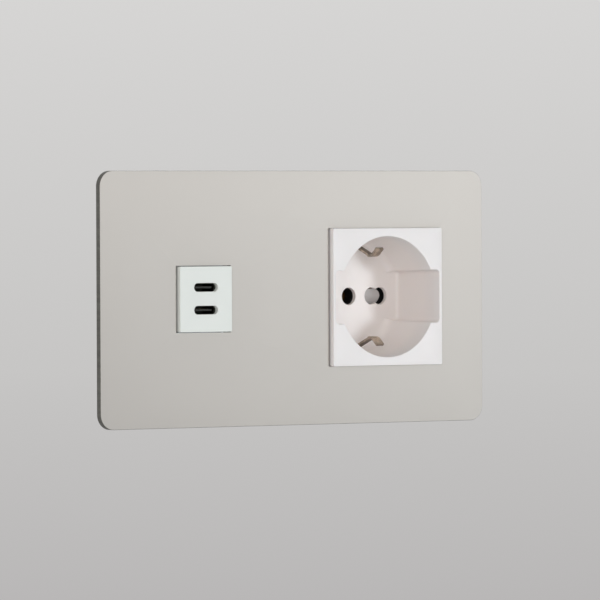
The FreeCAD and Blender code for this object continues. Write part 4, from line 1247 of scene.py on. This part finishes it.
class SOCKET_OT_stage(bpy.types.Operator):
    """Sets the camera of the photograph, the soft lamps, the pale floor and the backdrop"""

    bl_idname = "wall_socket.stage"
    bl_label = "Stage"
    # Each square lamp's azimuth, elevation, distance, side, power and colour.
    plans = (("left_lamp", -38, 2, 2.0, 1.2, 14.2, (1.0, 0.97, 0.955)),
             ("side_lamp", -88, 0, 2.0, 0.3, 4.6, (1.0, 0.97, 0.95)),
             ("key_lamp", 32, 0, 1.0, 0.18, 3.1, (0.88, 0.95, 1.0)))
    back_azimuth = 130
    back_elevation = 40
    back_strength = 1.1
    back_angle = 12
    # How much of its own shade the floor shows near the object, where it keeps the shadow too,
    # and the distances in metres between which that rises to all.
    floor_share = 0.6
    floor_fade = (0.25, 0.9)
    # The distances between which the floor goes from its painted near shade to the horizon's colour.
    floor_rise = (0.9, 6.0)
    # The rise of the line of sight between which the darker horizon, a painted shade, goes over to the
    # backdrop.
    sweep = (-0.022, 0.035)
    floor_drop = 0.12
    floor_reach = 6.0
    floor_sides = 64
    world_colour = (1.0, 0.965, 0.945, 1.0)
    world_strength = 0.42
    clip_end = 50.0

    def execute(self, context):
        colours = context.scene.socket_colours
        context.scene.view_settings.view_transform = "Standard"
        self.camera(context)
        self.lamps()
        self.floor(colours)
        self.backdrop(context, colours)
        return {"FINISHED"}

    def camera(self, context):
        """Puts the camera so that the plate's front centre lands on its pixel in the photograph."""
        lens = bpy.data.cameras.new("photo_camera")
        camera = in_scene("photo_camera", lens)
        lens.sensor_width = SENSOR
        lens.lens = PHOTO_FOCAL * SENSOR / PHOTO_SIDE
        lens.clip_end = self.clip_end
        back = self.direction(PHOTO_AZIMUTH, PHOTO_ELEVATION)
        right = Vector((math.cos(PHOTO_AZIMUTH), math.sin(PHOTO_AZIMUTH), 0))
        up = back.cross(right)
        cos_roll, sin_roll = math.cos(PHOTO_ROLL), math.sin(PHOTO_ROLL)
        across = right * cos_roll - up * sin_roll
        upward = right * sin_roll + up * cos_roll
        scale = PHOTO_DISTANCE / PHOTO_FOCAL
        offset = ((PHOTO_TARGET[0] - PHOTO_SIDE / 2) * scale, (PHOTO_SIDE / 2 - PHOTO_TARGET[1]) * scale)
        target = Vector((0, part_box("face_plate")[0].y, 0))
        place = target - across * offset[0] - upward * offset[1] + back * PHOTO_DISTANCE
        turn = Matrix((across, upward, back)).transposed()
        camera.matrix_world = Matrix.Translation(place) @ turn.to_4x4()
        context.scene.camera = camera

    def lamps(self):
        """Three square lamps at the front, and a soft sun that lights the back."""
        for name, azimuth, elevation, distance, side, power, colour in self.plans:
            lamp = self.lamp(name, "AREA", azimuth, elevation, distance)
            lamp.shape = "SQUARE"
            lamp.size = side
            lamp.energy = power
            lamp.color = colour
        sun = self.lamp("back_lamp", "SUN", self.back_azimuth, self.back_elevation, 1.0)
        sun.energy = self.back_strength
        sun.angle = math.radians(self.back_angle)

    def lamp(self, name, kind, azimuth, elevation, distance):
        """A lamp aimed at the object from its place, seen from the plate's middle in degrees."""
        lamp = bpy.data.lights.new(name, kind)
        holder = in_scene(name, lamp)
        place = self.direction(math.radians(azimuth), math.radians(elevation)) * distance
        holder.location = place
        holder.rotation_euler = (-place).to_track_quat("-Z", "Y").to_euler()
        holder.visible_camera = False
        return lamp

    def direction(self, turn, rise):
        """A unit vector to a place: turn from the plate's normal to the right, and rise upwards."""
        return Vector((math.sin(turn) * math.cos(rise), -math.cos(turn) * math.cos(rise),
                       math.sin(rise)))

    def floor(self, colours):
        """A flat round floor below the object."""
        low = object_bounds()[0]
        turn = np.linspace(0, 2 * math.pi, self.floor_sides, endpoint=False)
        points = np.column_stack([np.cos(turn) * self.floor_reach, np.sin(turn) * self.floor_reach,
                                  np.full(self.floor_sides, low.z - self.floor_drop)])
        floor = add_mesh("floor", points, [list(range(self.floor_sides))])
        finish = Finish("floor")
        finish.set(Base_Color=finish.shaded(finish.noise(3.0), colours.floor, 0.006, 0.006),
                   Roughness=0.9, Specular_IOR_Level=0.0)
        away = (finish.axis("X") ** 2 + finish.axis("Y") ** 2) ** 0.5
        # Painted shade: the floor's own colour is darker near the object and lightens to the horizon's.
        near, far = (finish.node("ShaderNodeEmission", {}, {"Color": linear(colour)})
                     for colour in (colours.floor_painted_shade, colours.horizon))
        paper = finish.node("ShaderNodeMixShader", {},
                            {0: away.between(*self.floor_rise) ** 0.5, 1: near, 2: far})
        share = self.floor_share + (1 - self.floor_share) * away.between(*self.floor_fade)
        finish.surface(finish.seen() * share, paper)
        floor.data.materials.append(finish.material)
        floor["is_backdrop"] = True

    def backdrop(self, context, colours):
        """World light, with the backdrop's own colour for what the camera and gloss see."""
        world = bpy.data.worlds.new("backdrop")
        context.scene.world = world
        sky = Shading(world, "Background", "World Output", "Generated")
        sky.set(Color=self.world_colour, Strength=self.world_strength)
        # Painted shade: darker towards the horizon, lighter above.
        shade = sky.mix(sky.axis("Z").between(*self.sweep), linear(colours.horizon),
                        linear(colours.backdrop))
        paper = sky.node("ShaderNodeBackground", {}, {"Color": shade, "Strength": 1.0})
        sky.surface(sky.seen(), paper)


PIECES = (
    SOCKET_OT_face_plate,
    SOCKET_OT_outlet_front,
    SOCKET_OT_shutter,
    SOCKET_OT_earth_fingers,
    SOCKET_OT_charging_front,
    SOCKET_OT_ports,
    SOCKET_OT_screws,
    SOCKET_OT_carried_nodes,
    SOCKET_OT_stage,
)


class SOCKET_PT_wall_socket(bpy.types.Panel):
    """Lists the sizes, the colours and the steps that make the wall socket"""

    bl_idname = "SOCKET_PT_wall_socket"
    bl_label = "Wall socket"
    bl_space_type = "VIEW_3D"
    bl_region_type = "UI"
    bl_category = "Wall socket"

    def draw(self, context):
        for piece in PIECES:
            self.layout.operator(piece.bl_idname)
        for group in (context.scene.socket_sizes, context.scene.socket_colours):
            for name in group.__annotations__:
                self.layout.prop(group, name)


CLASSES = (SocketSizes, SocketColours, *PIECES, SOCKET_PT_wall_socket)


def register():
    for each in CLASSES:
        bpy.utils.register_class(each)
    bpy.types.Scene.socket_sizes = bpy.props.PointerProperty(type=SocketSizes)
    bpy.types.Scene.socket_colours = bpy.props.PointerProperty(type=SocketColours)


def unregister():
    del bpy.types.Scene.socket_colours
    del bpy.types.Scene.socket_sizes
    for each in reversed(CLASSES):
        bpy.utils.unregister_class(each)


def main():
    """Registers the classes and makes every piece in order."""
    register()
    for piece in PIECES:
        group, name = piece.bl_idname.split(".")
        getattr(getattr(bpy.ops, group), name)()


if __name__ == "__main__":
    main()
